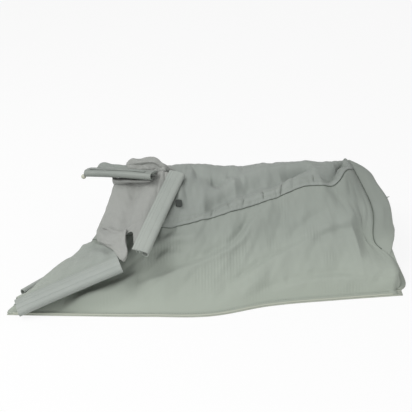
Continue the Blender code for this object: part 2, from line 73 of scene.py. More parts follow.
# Each fold is a path of places (along the bag, round it in guides), its widths to the left and right of the
# path and its height, in metres.
SLACK_FOLDS = (
    # The long ridge up to the near seam, with a sharp crease against its upper side and a hollow below it.
    (((0.26, 0.55), (0.395, 0.93), (0.46, 1.09), (0.503, 1.16), (0.532, 1.28), (0.557, 1.48), (0.59, 1.66),
      (0.66, 1.80)), 0.008, 0.022, 0.0085),
    (((0.39, 1.03), (0.43, 1.13), (0.465, 1.22), (0.50, 1.31), (0.525, 1.42), (0.55, 1.60), (0.57, 1.72)),
     0.008, 0.006, -0.0030),
    (((0.40, 0.80), (0.46, 0.96), (0.51, 1.06), (0.55, 1.20), (0.57, 1.38)), 0.007, 0.012, -0.0030),
    # The second ridge, out to the rear corner, and the deep hollow under its end.
    (((0.53, 0.50), (0.57, 0.64), (0.615, 0.76), (0.65, 0.88), (0.695, 0.98), (0.75, 1.12), (0.79, 1.20)),
     0.006, 0.004, -0.0042),
    (((0.56, 0.50), (0.62, 0.70), (0.667, 0.85), (0.723, 0.99), (0.777, 1.12), (0.833, 1.27), (0.888, 1.38),
      (0.99, 1.42)), 0.010, 0.026, 0.0080),
    (((0.76, 1.06), (0.80, 1.14), (0.845, 1.21), (0.89, 1.27), (0.94, 1.28)), 0.005, 0.007, -0.0065),
    (((0.890, 1.09), (0.918, 1.17), (0.942, 1.20), (0.97, 1.15), (1.03, 1.06)), 0.014, 0.022, -0.0215),
    (((0.88, 1.38), (0.91, 1.40), (0.94, 1.40), (0.98, 1.36)), 0.014, 0.007, 0.0035),
    # Smaller folds between and below them.
    (((0.68, 1.14), (0.695, 1.17), (0.728, 1.25), (0.768, 1.38), (0.82, 1.48)), 0.007, 0.007, -0.0045),
    (((0.70, 1.08), (0.725, 1.13), (0.765, 1.24), (0.83, 1.35)), 0.008, 0.012, 0.0040),
    (((0.62, 0.18), (0.68, 0.26), (0.735, 0.36), (0.815, 0.43), (0.92, 0.42)), 0.006, 0.006, -0.0034),
    (((0.63, 0.08), (0.695, 0.18), (0.738, 0.24), (0.818, 0.32), (0.92, 0.28)), 0.009, 0.020, 0.0050),
    (((0.54, 0.02), (0.583, 0.08), (0.618, 0.18), (0.65, 0.33), (0.70, 0.46)), 0.008, 0.008, -0.0008),
    (((0.58, 0.08), (0.62, 0.22), (0.66, 0.38), (0.70, 0.50)), 0.012, 0.012, 0.0025),
    (((0.48, 0.08), (0.535, 0.18), (0.585, 0.30), (0.65, 0.52)), 0.010, 0.014, 0.0030),
    # The fold out from under the top channel, and the shallow hollows on both sides of it.
    (((0.24, 1.62), (0.273, 1.67), (0.32, 1.70), (0.378, 1.58), (0.417, 1.39), (0.44, 1.20)),
     0.010, 0.014, 0.0045),
    (((0.24, 1.47), (0.285, 1.50), (0.333, 1.50), (0.375, 1.40)), 0.006, 0.012, -0.0050),
    # The low swell beside the near channel.
    (((0.13, 0.0), (0.165, 0.18), (0.20, 0.38), (0.235, 0.58), (0.262, 0.78)), 0.016, 0.030, 0.0170),
    # Gathers under the top channel.
    (((0.25, 1.95), (0.30, 1.84)), 0.004, 0.004, -0.0030),
    (((0.25, 1.84), (0.30, 1.78), (0.36, 1.72)), 0.004, 0.005, -0.0030),
    (((0.28, 1.30), (0.33, 1.30), (0.383, 1.18)), 0.007, 0.010, 0.0030),
    # The band of doubled cloth above the near seam, with its tucks.
    (((0.365, 1.94), (0.42, 2.04), (0.508, 2.06), (0.608, 2.07), (0.718, 2.10), (0.787, 2.10)),
     0.008, 0.008, 0.0045),
    (((0.33, 2.04), (0.42, 2.12), (0.458, 2.15), (0.505, 2.20), (0.562, 2.23), (0.61, 2.22), (0.672, 2.21),
      (0.745, 2.19), (0.782, 2.21)), 0.010, 0.004, -0.0050),
    (((0.415, 1.94), (0.42, 2.13)), 0.003, 0.003, -0.0026),
    (((0.492, 1.95), (0.473, 2.12)), 0.003, 0.003, -0.0022),
    (((0.53, 1.98), (0.537, 2.12)), 0.003, 0.003, -0.0018),
    (((0.608, 1.96), (0.603, 2.22)), 0.003, 0.0035, -0.0030),
    (((0.667, 1.92), (0.685, 2.22)), 0.003, 0.004, -0.0045),
    (((0.70, 1.99), (0.715, 2.20)), 0.006, 0.006, 0.0025),
    (((0.792, 1.99), (0.80, 2.18)), 0.003, 0.003, -0.0022),
    # Hollows and ridges over the top. The first two bring the cloth up against the top channel's hook.
    (((0.235, 1.90), (0.262, 2.12), (0.274, 2.24), (0.286, 2.36), (0.300, 2.50)), 0.012, 0.014, 0.0110),
    (((0.282, 2.36), (0.303, 2.55), (0.322, 2.72), (0.340, 2.88)), 0.010, 0.013, 0.0060),
    (((0.38, 2.50), (0.50, 2.44), (0.80, 2.43)), 0.018, 0.018, -0.004),
    (((0.385, 2.10), (0.412, 2.19), (0.438, 2.27), (0.468, 2.34), (0.50, 2.39)), 0.016, 0.017, -0.0080),
    (((0.36, 2.32), (0.41, 2.38), (0.463, 2.44), (0.542, 2.49), (0.60, 2.52)), 0.008, 0.008, 0.0050),
    (((0.30, 2.92), (0.345, 2.80), (0.388, 2.68), (0.430, 2.58), (0.475, 2.50)), 0.010, 0.010, -0.0075),
    (((0.405, 2.64), (0.455, 2.52)), 0.006, 0.006, -0.0040),
    (((0.47, 2.70), (0.54, 2.52)), 0.006, 0.006, -0.0040),
    (((0.50, 2.40), (0.56, 2.39), (0.608, 2.36), (0.657, 2.33), (0.71, 2.33), (0.80, 2.38)),
     0.012, 0.008, -0.0060),
    (((0.68, 2.40), (0.725, 2.40), (0.765, 2.42), (0.81, 2.46)), 0.012, 0.010, -0.0080),
    (((0.38, 2.28), (0.46, 2.44), (0.547, 2.60), (0.62, 2.68), (0.715, 2.68), (0.80, 2.62)),
     0.010, 0.009, 0.0065),
    (((0.66, 2.24), (0.70, 2.23), (0.753, 2.23), (0.81, 2.33), (0.87, 2.44)), 0.007, 0.009, 0.0050),
    (((0.90, 2.32), (0.94, 2.22), (1.00, 2.12)), 0.012, 0.012, -0.0050),
    (((0.76, 2.75), (0.84, 2.72), (0.92, 2.60)), 0.016, 0.016, 0.0040),
    # The ear at the top of the near rear corner, with a deep hollow on each side of it.
    (((0.82, 2.03), (0.86, 2.06), (0.90, 2.10), (0.94, 2.10), (0.98, 2.04)), 0.013, 0.005, -0.0100),
    (((0.87, 1.84), (0.90, 1.88), (0.94, 1.88), (0.99, 1.84)), 0.008, 0.014, 0.0075),
    (((0.84, 1.98), (0.850, 1.86), (0.865, 1.72), (0.89, 1.61), (0.93, 1.50), (0.97, 1.42)),
     0.009, 0.010, -0.0060),
)
REAR_TUCK = (((0.935, 1.23), (1.00, 1.20), (1.09, 1.18)), 0.013, 0.008, 0.018)


def cubic(start, start_pull, end, end_pull, t):
    """A cubic from start to end, leaving along start_pull and arriving along end_pull, as t goes from 0 to
    1."""
    return ((2 * t**3 - 3 * t**2 + 1) * start + (t**3 - 2 * t**2 + t) * start_pull
            + (3 * t**2 - 2 * t**3) * end + (t**3 - t**2) * end_pull)


def run_lengths(line):
    """The length walked from a line's start to each of its points."""
    return np.concatenate(((0.0,), np.cumsum(np.linalg.norm(np.diff(line, axis=0), axis=1))))


def points_along(line, run, places):
    """Points of a line at places given as lengths of its run, straight between its own points."""
    return np.stack([np.interp(places, run, line[:, axis]) for axis in range(3)], axis=-1)


def guide_line(points, shares):
    """Places at shares of the length of a smooth line: cubics through the points with matching slopes."""
    chords = np.linalg.norm(np.diff(points, axis=0), axis=1)
    knots = run_lengths(points)
    slopes = np.gradient(points, knots, axis=0)
    dense = np.linspace(0.0, knots[-1], 600)
    piece = np.clip(np.searchsorted(knots, dense, side="right") - 1, 0, len(knots) - 2)
    span = chords[piece][:, None]
    line = cubic(points[piece], slopes[piece] * span, points[piece + 1], slopes[piece + 1] * span,
                 (dense - knots[piece])[:, None] / span)
    run = run_lengths(line)
    return points_along(line, run, np.asarray(shares) * run[-1])


def length_one(vectors):
    """Vectors divided by their own length."""
    return vectors / np.maximum(np.linalg.norm(vectors, axis=-1, keepdims=True), 1e-9)


def outward(points):
    """Unit normals of a (round, along) grid: the slope along it crossed with the slope round it."""
    return length_one(np.cross(np.gradient(points, axis=1), np.gradient(points, axis=0)))


def fold_share(spots, path, left, right):
    """A bell curve of the distance from each spot to a path of straight runs: one on it, near none beyond,
    with its own width on each side of the path, and fading over the last part of the path at both ends."""
    nearest = np.full(spots.shape[:2], np.inf)
    place = np.zeros(spots.shape[:2])
    walked = 0.0
    for start, end in zip(path[:-1], path[1:]):
        run = np.asarray(end) - start
        away = spots - start
        share = np.clip((away @ run) / (run @ run), 0.0, 1.0)
        width = np.where(run[0] * away[..., 1] > run[1] * away[..., 0], left, right)
        gap = np.linalg.norm(away - share[..., None] * run, axis=-1) / width
        place = np.where(gap < nearest, walked + share * np.linalg.norm(run), place)
        nearest = np.minimum(nearest, gap)
        walked += np.linalg.norm(run)
    end_fade = np.clip(np.minimum(place, walked - place) / (0.28 * walked), 0.0, 1.0)
    return np.exp(-nearest ** 2) * end_fade * (2 - end_fade)


def slack_waves(across, down, longest, shortest, height, seed):
    """Soft unevenness of slack cloth: eight sine waves of mixed length and heading, added over two sizes."""
    draw = np.random.RandomState(seed)
    total = np.zeros(across.shape)
    for length in np.geomspace(longest, shortest, 8):
        heading = draw.uniform(0.0, math.pi)
        phase = draw.uniform(0.0, 2 * math.pi)
        step = (across * math.cos(heading) + down * math.sin(heading)) * 2 * math.pi / length
        total += np.sin(step + phase) * (length / longest)
    return total * height


def body_skin(along, rounds):
    """The skin and its outward normals over (round, along): a smooth ring through the seven guide lines at
    each place along the bag, then pushed along its normals by every fold, by soft waves and by a pucker at
    each seam."""
    guides = np.stack([guide_line(np.array(guide, dtype=float) * BAG_SIZE + (0.0, 0.0, FOOT_HEIGHT), along)
                       for guide in SKIN_GUIDES])
    slopes = np.gradient(guides, axis=0)
    piece = np.clip(np.floor(rounds).astype(int), 0, len(guides) - 2)
    points = cubic(guides[piece], slopes[piece], guides[piece + 1], slopes[piece + 1],
                   (rounds - piece)[:, None, None])
    map_size = np.array((BAG_SIZE[0], GUIDE_SPACING))
    spots = np.stack(np.meshgrid(along, rounds), axis=-1) * map_size
    rise = sum(height * fold_share(spots, np.array(path) * map_size, left, right)
               for path, left, right, height in SLACK_FOLDS)
    rise = rise + slack_waves(spots[..., 0], spots[..., 1], 0.090, 0.014, 0.0007, 4)
    beat = spots[..., 0] * 2 * math.pi / 0.013 + 1.7 * np.sin(spots[..., 0] * 2 * math.pi / 0.047)
    for seam in (2.0, 4.0):
        rise = rise + 0.00025 * np.sin(beat) * np.exp(-((rounds - seam) / 0.12) ** 2)[:, None]
    foot = np.clip(np.minimum(rounds, 6 - rounds) / 0.4, 0.0, 1.0)
    points = points + outward(points) * (rise * (foot * foot * (3 - 2 * foot))[:, None])[..., None]
    path, left, right, depth = REAR_TUCK
    points[..., 0] -= depth * fold_share(spots, np.array(path) * map_size, left, right)
    return points + BAG_CENTRE, outward(points)


def grid_lengths(points):
    """The lengths walked along the rows and down the columns of a (row, column) grid, to each of its
    points."""
    rows, columns = points.shape[:2]
    step_along = np.linalg.norm(np.diff(points, axis=1), axis=-1)
    step_down = np.linalg.norm(np.diff(points, axis=0), axis=-1)
    along = np.concatenate((np.zeros((rows, 1)), np.cumsum(step_along, axis=1)), axis=1)
    down = np.concatenate((np.zeros((1, columns)), np.cumsum(step_down, axis=0)), axis=0)
    return along, down


def smooth_piece(name, points, faces, finish, map_name=None, lengths=None):
    """A smooth-shaded piece from its points and faces, with a UV map where each point's lengths are given."""
    mesh = bpy.data.meshes.new(name)
    mesh.from_pydata(points.tolist(), [], faces)
    if lengths is not None:
        corners = np.empty(len(mesh.loops), dtype=np.int32)
        mesh.loops.foreach_get("vertex_index", corners)
        layer = mesh.uv_layers.new(name=map_name)
        layer.data.foreach_set("uv", lengths[corners].astype(np.float32).ravel())
    mesh.polygons.foreach_set("use_smooth", np.ones(len(mesh.polygons), dtype=bool))
    mesh.materials.append(finish)
    piece = bpy.data.objects.new(name, mesh)
    bpy.context.scene.collection.objects.link(piece)
    return piece


def cloth_grid(name, points, thickness, finish, skip=None):
    """A cloth piece from a (row, column) grid of its middle surface, with a UV map of lengths along its
    rows and columns in metres, made as thick as the cloth."""
    rows, columns = points.shape[:2]
    corner = (np.arange(rows - 1)[:, None] * columns + np.arange(columns - 1)[None, :])
    quads = np.stack((corner, corner + 1, corner + columns + 1, corner + columns), axis=-1)
    keep = np.ones((rows - 1, columns - 1), dtype=bool)
    if skip is not None:
        keep &= ~skip
    used, renumbered = np.unique(quads[keep], return_inverse=True)
    lengths = np.stack(grid_lengths(points), axis=-1).reshape(-1, 2)[used]
    piece = smooth_piece(name, points.reshape(-1, 3)[used], renumbered.reshape(-1, 4).tolist(), finish,
                         "cloth lengths", lengths)
    wall = piece.modifiers.new("Cloth thickness", "SOLIDIFY")
    wall.thickness = thickness
    wall.offset = 0.0
    wall.use_quality_normals = True
    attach(piece, "root")
    return piece


def principled(name, roughness):
    """A new material with its node tree and its shader, which has one roughness."""
    finish = bpy.data.materials.new(name)
    finish.use_nodes = True
    shader = finish.node_tree.nodes["Principled BSDF"]
    shader.inputs["Roughness"].default_value = roughness
    return finish, finish.node_tree, shader


def wired(tree, kind, inputs):
    """A new node, with each input set to a value or linked to a socket."""
    node = tree.nodes.new(kind)
    for key, value in inputs.items():
        if isinstance(value, bpy.types.NodeSocket):
            tree.links.new(value, node.inputs[key])
        else:
            node.inputs[key].default_value = value
    return node


def maths(tree, operation, *values):
    """One Math node on values that are each a socket or a number."""
    node = wired(tree, "ShaderNodeMath", dict(enumerate(values)))
    node.operation = operation
    return node.outputs[0]


def ranged(tree, value, start, end, low, high, kind="LINEAR"):
    """A value's stretch from start to end carried over to low and high, and held at them beyond it."""
    node = wired(tree, "ShaderNodeMapRange", {"Value": value, "From Min": start, "From Max": end,
                                              "To Min": low, "To Max": high})
    node.interpolation_type = kind
    return node.outputs["Result"]


def noise_tint(tree, scale, detail, low, high, low_colour, high_colour):
    """A slow change between two colours over the piece, from noise on its Object coordinates."""
    place = tree.nodes.new("ShaderNodeTexCoord")
    noise = wired(tree, "ShaderNodeTexNoise", {"Vector": place.outputs["Object"], "Scale": scale,
                                               "Detail": detail})
    ramp = wired(tree, "ShaderNodeValToRGB", {"Fac": noise.outputs["Fac"]})
    for index, (position, colour) in enumerate(((low, low_colour), (high, high_colour))):
        ramp.color_ramp.elements[index].position = position
        ramp.color_ramp.elements[index].color = (*colour, 1.0)
    return ramp.outputs["Color"]


def tinted_finish(name, roughness, scale, high, dark, pale):
    """A material of one roughness, with a tone that changes a little by fine noise."""
    finish, tree, shader = principled(name, roughness)
    tree.links.new(noise_tint(tree, scale, 2.0, 0.3, high, dark, pale), shader.inputs["Base Color"])
    return finish


def yarn_wave(tree, source, pitch):
    """A wave from 0 to 1 that repeats every pitch metres of the given length."""
    wave = maths(tree, "SINE", maths(tree, "MULTIPLY", source, 2 * math.pi / pitch))
    return maths(tree, "MULTIPLY_ADD", wave, 0.5, 0.5)


def blended(tree, share, first, second):
    """A colour mixed with a second, given colour, by a share."""
    node = tree.nodes.new("ShaderNodeMix")
    node.data_type = "RGBA"
    tree.links.new(share, node.inputs["Factor"])
    tree.links.new(first, node.inputs["A"])
    node.inputs["B"].default_value = (*second, 1.0)
    return node.outputs["Result"]


def bumped(tree, shader, height, strength, distance):
    """A bump on the shader's normal, as high in metres as distance where the height is one."""
    bump = wired(tree, "ShaderNodeBump", {"Height": height, "Strength": strength, "Distance": distance})
    tree.links.new(bump.outputs["Normal"], shader.inputs["Normal"])


def woven_finish(name, colours, yarn, rib, rib_strength, rib_height, roughness, sheen, taut_spots=()):
    """Woven cloth: two crossed yarn waves on the UV lengths make the weave, wider upright ribs show in
    patches and round the spots where the cloth is drawn taut, noise changes the tone slowly, and the cloth
    is painted paler near the ground, as painted light thrown up from the floor. The weave and the ribs also
    drive the bump."""
    finish, tree, shader = principled(name, roughness)
    shader.inputs["Specular IOR Level"].default_value = 0.25
    shader.inputs["Sheen Weight"].default_value = sheen
    shader.inputs["Sheen Roughness"].default_value = 0.6
    lengths = tree.nodes.new("ShaderNodeUVMap")
    lengths.uv_map = "cloth lengths"
    split = wired(tree, "ShaderNodeSeparateXYZ", {"Vector": lengths.outputs["UV"]})
    warp = yarn_wave(tree, split.outputs["X"], yarn)
    weft = yarn_wave(tree, split.outputs["Y"], yarn)
    weave = maths(tree, "MULTIPLY", warp, weft)
    place = tree.nodes.new("ShaderNodeTexCoord").outputs["Object"]
    upright = wired(tree, "ShaderNodeSeparateXYZ", {"Vector": place})
    ribs = yarn_wave(tree, upright.outputs["X"], rib)
    patches = wired(tree, "ShaderNodeTexNoise", {"Vector": place, "Scale": 15.0, "Detail": 1.0})
    taut = ranged(tree, patches.outputs["Fac"], 0.60, 0.74, 0.0, rib_strength)
    for spot, reach in taut_spots:
        away = wired(tree, "ShaderNodeVectorMath", {0: place, 1: spot})
        away.operation = "DISTANCE"
        near_spot = ranged(tree, away.outputs["Value"], 0.0, reach, rib_strength, 0.0, "SMOOTHSTEP")
        taut = maths(tree, "MAXIMUM", taut, near_spot)
    ribbed = maths(tree, "MULTIPLY", ribs, taut)
    tone = noise_tint(tree, 5.0, 3.0, 0.35, 0.68, colours[0], colours[1])
    tone = blended(tree, ribbed, tone, colours[2])
    # Painted light: a paler, yellower tone over the lowest 9 cm stands in for light bounced up from the floor.
    painted_floor_light = ranged(tree, upright.outputs["Z"], 0.0, 0.09, 0.65, 0.0)
    tone = blended(tree, painted_floor_light, tone, (0.390, 0.430, 0.365))
    tone = blended(tree, maths(tree, "MULTIPLY", weave, 0.12), tone, colours[3])
    tree.links.new(tone, shader.inputs["Base Color"])
    rib_bump = maths(tree, "MULTIPLY", ribbed, rib_height)
    bumped(tree, shader, maths(tree, "ADD", weave, rib_bump), 0.4, 0.0004)
    return finish


# The near and far side panels. Each is open mesh cloth that lets the air out, sewn under the top panel
# along its upper edge, with a hem that turns out flat along the ground. The mesh's heavier yarns show as
# upright ribs.
LONG_PLACES = np.concatenate(((0.0,), np.linspace(SEAM_LAP / BAG_SIZE[0], 1 - SEAM_LAP / BAG_SIZE[0], 419),
                              (1.0,)))
SIDE_HEIGHT = 0.195
SEAM_SHARE = 2 * SEAM_LAP / SIDE_HEIGHT
FOOT_HEM = 0.007
NEAR_HEM_FLARE = 0.0045
MESH_THICKNESS = 0.0012
mesh_cloth = woven_finish("mesh_cloth_weave", ((0.234, 0.257, 0.232), (0.288, 0.316, 0.285),
                                               (0.222, 0.245, 0.220), (0.205, 0.228, 0.204)),
                          0.0013, 0.0052, 0.55, 3.2, 0.86, 0.08,
                          (((0.019, -0.115, 0.049), 0.045), ((-0.013, -0.140, 0.034), 0.040),
                           ((0.080, -0.142, 0.018), 0.030), ((0.226, -0.135, 0.004), 0.035),
                           ((0.166, -0.074, 0.075), 0.025), ((-0.069, -0.098, 0.072), 0.030),
                           ((0.044, -0.096, 0.062), 0.025)))


def turned_out(foot, side):
    """Unit vectors across a foot line in the ground plane, out of the bag."""
    run = np.gradient(foot, axis=0)
    return length_one(np.stack((run[:, 1], -run[:, 0], np.zeros(len(run))), axis=-1)) * side


near_rounds = np.concatenate((np.linspace(0.0, 2.0 - SEAM_SHARE, 106), (2.0,)))
near_points = body_skin(LONG_PLACES, near_rounds)[0]
near_out = turned_out(near_points[0], 1.0)
near_hem_width = (FOOT_HEM + NEAR_HEM_FLARE * np.clip((LONG_PLACES - 0.38) / 0.30, 0.0, 1.0))[:, None]
near_hem = near_points[0] + near_out * near_hem_width * np.array((1.0, 0.55))[:, None, None]
near_side = cloth_grid("near_side_cloth", np.concatenate((near_hem, near_points)), MESH_THICKNESS, mesh_cloth)
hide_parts("near_side_panel")

far_places = LONG_PLACES[::2]
far_rounds = np.concatenate(((4.0,), np.linspace(4.0 + SEAM_SHARE, 6.0, 70)))
far_points = body_skin(far_places, far_rounds)[0]
far_out = turned_out(far_points[-1], -1.0)
far_hem = far_points[-1] + far_out * FOOT_HEM * np.array((0.55, 1.0))[:, None, None]
far_side = cloth_grid("far_side_cloth", np.concatenate((far_points, far_hem)), MESH_THICKNESS, mesh_cloth)
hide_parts("far_side_panel")

# The top panel. It is plain coated cloth, smoother and greyer than the mesh, lapped over both side panels,
# with a band of doubled cloth along the near seam that has puckered into tucks.
PLAIN_THICKNESS = 0.0010
LAP_GAP = 0.0005
LAP_LIFT = (MESH_THICKNESS + PLAIN_THICKNESS) / 2 + LAP_GAP
plain_cloth = woven_finish("plain_cloth_weave", ((0.268, 0.276, 0.260), (0.318, 0.326, 0.306),
                                                 (0.292, 0.300, 0.282), (0.246, 0.254, 0.238)),
                           0.0007, 0.0022, 0.10, 0.25, 0.62, 0.10)
# A darker, greener copy of the plain cloth, darkened as painted shade; the top panel, the near flap and the
# far channel's wrap use it.
plain_cloth_painted_shade = woven_finish("plain_cloth_weave_painted_shade", ((0.232, 0.254, 0.234), (0.280, 0.303, 0.280),
                                              (0.255, 0.278, 0.256), (0.218, 0.238, 0.220)),
                          0.0007, 0.0022, 0.10, 0.25, 0.62, 0.10)
top_rounds = np.linspace(2.0 - SEAM_SHARE, 4.0 + SEAM_SHARE, 104)
top_points, top_normals = body_skin(LONG_PLACES, top_rounds)
top_panel = cloth_grid("top_cloth", top_points + top_normals * LAP_LIFT, PLAIN_THICKNESS, plain_cloth_painted_shade)
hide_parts("top_panel")

# The rear panel. It closes the end in the same mesh, sewn in with its edge turned forward inside the body,
# and it bulges above and below a pinch where the slumped cloth folds into a shelf.
REAR_STEPS_UP = 90
REAR_STEPS_ACROSS = 80
REAR_PINCH = 0.50
INNER_GAP = 0.0009


def rear_surface(ring_near, ring_top, ring_far):
    """The rear's middle surface: a blend of its four edges, pushed back by a bulge that rises fast above
    the pinch and falls off as a power, by a bell near its top, by a second bulge at the foot, and by slack
    waves."""
    up = np.linspace(0.0, 1.0, REAR_STEPS_UP + 1)[:, None, None]
    across = np.linspace(0.0, 1.0, REAR_STEPS_ACROSS + 1)[None, :, None]
    base = ring_near[0] + across * (ring_far[0] - ring_near[0])
    sides = (1 - across) * ring_near[:, None] + across * ring_far[:, None]
    ends = (1 - up) * base + up * ring_top[None]
    corners = ((1 - up) * ((1 - across) * ring_near[0] + across * ring_far[0])
               + up * ((1 - across) * ring_top[0] + across * ring_top[-1]))
    high = np.clip((up - REAR_PINCH) / (1 - REAR_PINCH), 0.0, 1.0)
    low = np.clip(1 - up / REAR_PINCH, 0.0, 1.0)
    swell = 0.003 + 0.012 * low ** 1.2 + 0.061 * (1 - high) ** 0.90 * (1 - np.exp(-high / 0.11))
    crown = 0.012 * np.exp(-((high - 0.80) / 0.17) ** 2)
    fullness = 1 - (2 * across - 1) ** 6
    waves = slack_waves(across[..., 0] * 0.26 + 0 * up[..., 0], up[..., 0] * 0.18 + 0 * across[..., 0],
                        0.080, 0.020, 0.0012, 9)[..., None]
    edge = np.minimum(np.minimum(across, 1 - across), np.minimum(up, 1 - up)) / 0.08
    squarer = 1 - np.abs(2 * across - 1) ** 14
    fullness = fullness + (squarer - fullness) * np.clip(low * 4, 0.0, 1.0)
    push = (swell + crown) * fullness + waves * np.clip(edge, 0.0, 1.0)
    return sides + ends - corners + push * np.array((1.0, 0.0, 0.0))


FLANGE_AND_END = (-6, -1)
rear_inset = MESH_THICKNESS + INNER_GAP
rear_near_rounds = np.linspace(0.0, 2.0, REAR_STEPS_UP + 1)
rear_top_rounds = np.linspace(2.0, 4.0, REAR_STEPS_ACROSS + 1)
rear_far_rounds = np.linspace(4.0, 6.0, REAR_STEPS_UP + 1)
rear_rounds = np.concatenate((rear_near_rounds, rear_top_rounds[1:-1], rear_far_rounds))
rear_skin, rear_normals = body_skin(LONG_PLACES, rear_rounds)
rear_inner = rear_skin[:, FLANGE_AND_END] - rear_normals[:, FLANGE_AND_END] * rear_inset
rear_inner[0, :, 2] = rear_skin[0, FLANGE_AND_END, 2]
rear_inner[-1, :, 2] = rear_skin[-1, FLANGE_AND_END, 2]
flange, ring = rear_inner[:, 0], rear_inner[:, 1]
near_part = slice(0, REAR_STEPS_UP + 1)
top_part = slice(REAR_STEPS_UP, REAR_STEPS_UP + REAR_STEPS_ACROSS + 1)
far_part = slice(REAR_STEPS_UP + REAR_STEPS_ACROSS, None)
patch = rear_surface(ring[near_part], ring[top_part], ring[far_part][::-1])
rear_body = np.concatenate((flange[near_part][:, None], patch, flange[far_part][::-1][:, None]), axis=1)
rear_lid = np.concatenate((flange[near_part][-1:], flange[top_part], flange[far_part][:1]))
rear_foot = patch[0] + np.array((FOOT_HEM, 0.0, 0.0))
rear_hem = np.concatenate((flange[near_part][:1], rear_foot, flange[far_part][-1:]))
rear_grid = np.concatenate((rear_hem[None], rear_body, rear_lid[None]))
rear_skip = np.zeros((rear_grid.shape[0] - 1, rear_grid.shape[1] - 1), dtype=bool)
rear_skip[np.ix_((0, -1), (0, -1))] = True
rear_panel = cloth_grid("rear_cloth", rear_grid, MESH_THICKNESS, mesh_cloth, rear_skip)
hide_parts("rear_panel")

# The base panel. It is the heaviest cloth, lies flat on the ground, and shows as a thin lip outside the hems.
BASE_THICKNESS = 0.0014
BASE_LIP = 0.002
base_cloth = woven_finish("base_cloth_weave", ((0.390, 0.390, 0.335), (0.450, 0.450, 0.390),
                                               (0.420, 0.420, 0.360), (0.350, 0.350, 0.300)),
                          0.0009, 0.0028, 0.10, 0.25, 0.70, 0.05)
base_near = near_points[0][::6] + near_out[::6] * (near_hem_width[::6] + BASE_LIP)
base_far = far_points[-1][::3] + far_out[::3] * (FOOT_HEM + BASE_LIP)
base_far[-1, 0] = base_near[-1, 0]
base_share = np.linspace(0.0, 1.0, 61)[:, None, None]
base_grid = base_near[None] * (1 - base_share) + base_far[None] * base_share
rear_reach = np.interp(base_grid[:, -1, 1], rear_foot[:, 1], rear_foot[:, 0] + BASE_LIP)
base_stretch = np.linspace(0.0, 1.0, base_grid.shape[1]) ** 6
base_grid[..., 0] += (rear_reach - base_grid[:, -1, 0])[:, None] * base_stretch
base_grid[..., 2] = BASE_THICKNESS / 2 + 0.00001
base_panel = cloth_grid("base_cloth", base_grid, BASE_THICKNESS, base_cloth)
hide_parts("base_panel")

# Seam thread, stitches and tape. The near seam shows as a dark thread against the lap's edge, a real thread
# made near black to paint the shade under the lap. Two rows of short stitches hold the near lap and one the
# far lap, tape binds the near foot, and a thread of the same near-black kind runs up the rear corner, painting
# the shade along that seam too.
# Near black: part thread colour, part painted shade along the laps of the seams.
dark_thread_and_painted_shade = tinted_finish("seam_thread_and_painted_shade", 0.8, 90.0, 0.7, (0.055, 0.070, 0.055), (0.110, 0.130, 0.105))
stitch_finish = tinted_finish("stitch_thread", 0.7, 60.0, 0.7, (0.215, 0.245, 0.205), (0.300, 0.330, 0.285))
STITCH_RADIUS = 0.00035
STITCH_LIFT = LAP_LIFT + 0.0006


def ring_quads(rings, sides):
    """The four-cornered faces between neighbouring rings of points, each closed on itself."""
    step = np.arange(rings - 1)[:, None] * sides
    side = np.arange(sides)[None, :]
    after = (side + 1) % sides
    quads = np.stack((step + side, step + after, step + sides + after, step + sides + side), axis=-1)
    return quads.reshape(-1, 4)


def tube_faces(rings, sides):
    """The faces of a closed tube: the quads between its rings and a cap at each end."""
    last = (rings - 1) * sides
    caps = [list(range(sides))[::-1], list(range(last, last + sides))]
    return ring_quads(rings, sides).tolist() + caps


def swept_round(name, line, radii, sides, finish):
    """A closed round strand along a line of points: a circle set square to the line at each point, with its
    own radius there, and a cap at each end."""
    ahead = length_one(np.gradient(line, axis=0))
    aside = length_one(np.cross(ahead, np.array((0.13, 0.21, 0.97))))
    above = np.cross(aside, ahead)
    turn = np.linspace(0.0, 2 * math.pi, sides, endpoint=False)
    ring = (np.cos(turn)[None, :, None] * aside[:, None] + np.sin(turn)[None, :, None] * above[:, None])
    points = line[:, None] + ring * np.asarray(radii)[:, None, None]
    piece = smooth_piece(name, points.reshape(-1, 3), tube_faces(len(line), sides), finish)
    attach(piece, "root")
    return piece


def stitch_row(name, line, up, length, spacing, finish):
    """A row of stitches: one small six-sided bead, long and low, repeated at even spacing along a line that
    is lifted along the cloth's normals."""
    run = run_lengths(line)
    spots = np.arange(spacing, run[-1] - spacing, spacing)
    middle = points_along(line, run, spots)
    normal = length_one(points_along(up, run, spots))
    ahead = length_one(points_along(line, run, spots + 0.001) - middle)
    aside = np.cross(normal, ahead)
    turn = np.linspace(0.0, 2 * math.pi, 6, endpoint=False)
    shares = np.array((-0.5, -0.3, 0.3, 0.5))
    sizes = np.array((0.35, 1.0, 1.0, 0.35)) * STITCH_RADIUS
    circle = (np.cos(turn)[None, :, None] * np.array((0.0, 1.0, 0.0))
              + np.sin(turn)[None, :, None] * np.array((0.0, 0.0, 1.0)))
    bead = shares[:, None, None] * length * np.array((1.0, 0.0, 0.0)) + sizes[:, None, None] * circle
    bead = bead.reshape(-1, 3)
    points = (middle[:, None] + bead[None, :, :1] * ahead[:, None] + bead[None, :, 1:2] * aside[:, None]
              + bead[None, :, 2:] * normal[:, None])
    offsets = np.arange(len(spots))[:, None, None] * len(bead)
    faces = (ring_quads(4, 6)[None] + offsets).reshape(-1, 4).tolist()
    caps = np.stack((np.arange(6)[::-1], np.arange(18, 24)))
    faces += (caps[None] + offsets).reshape(-1, 6).tolist()
    piece = smooth_piece(name, points.reshape(-1, 3), faces, finish)
    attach(piece, "root")
    return piece


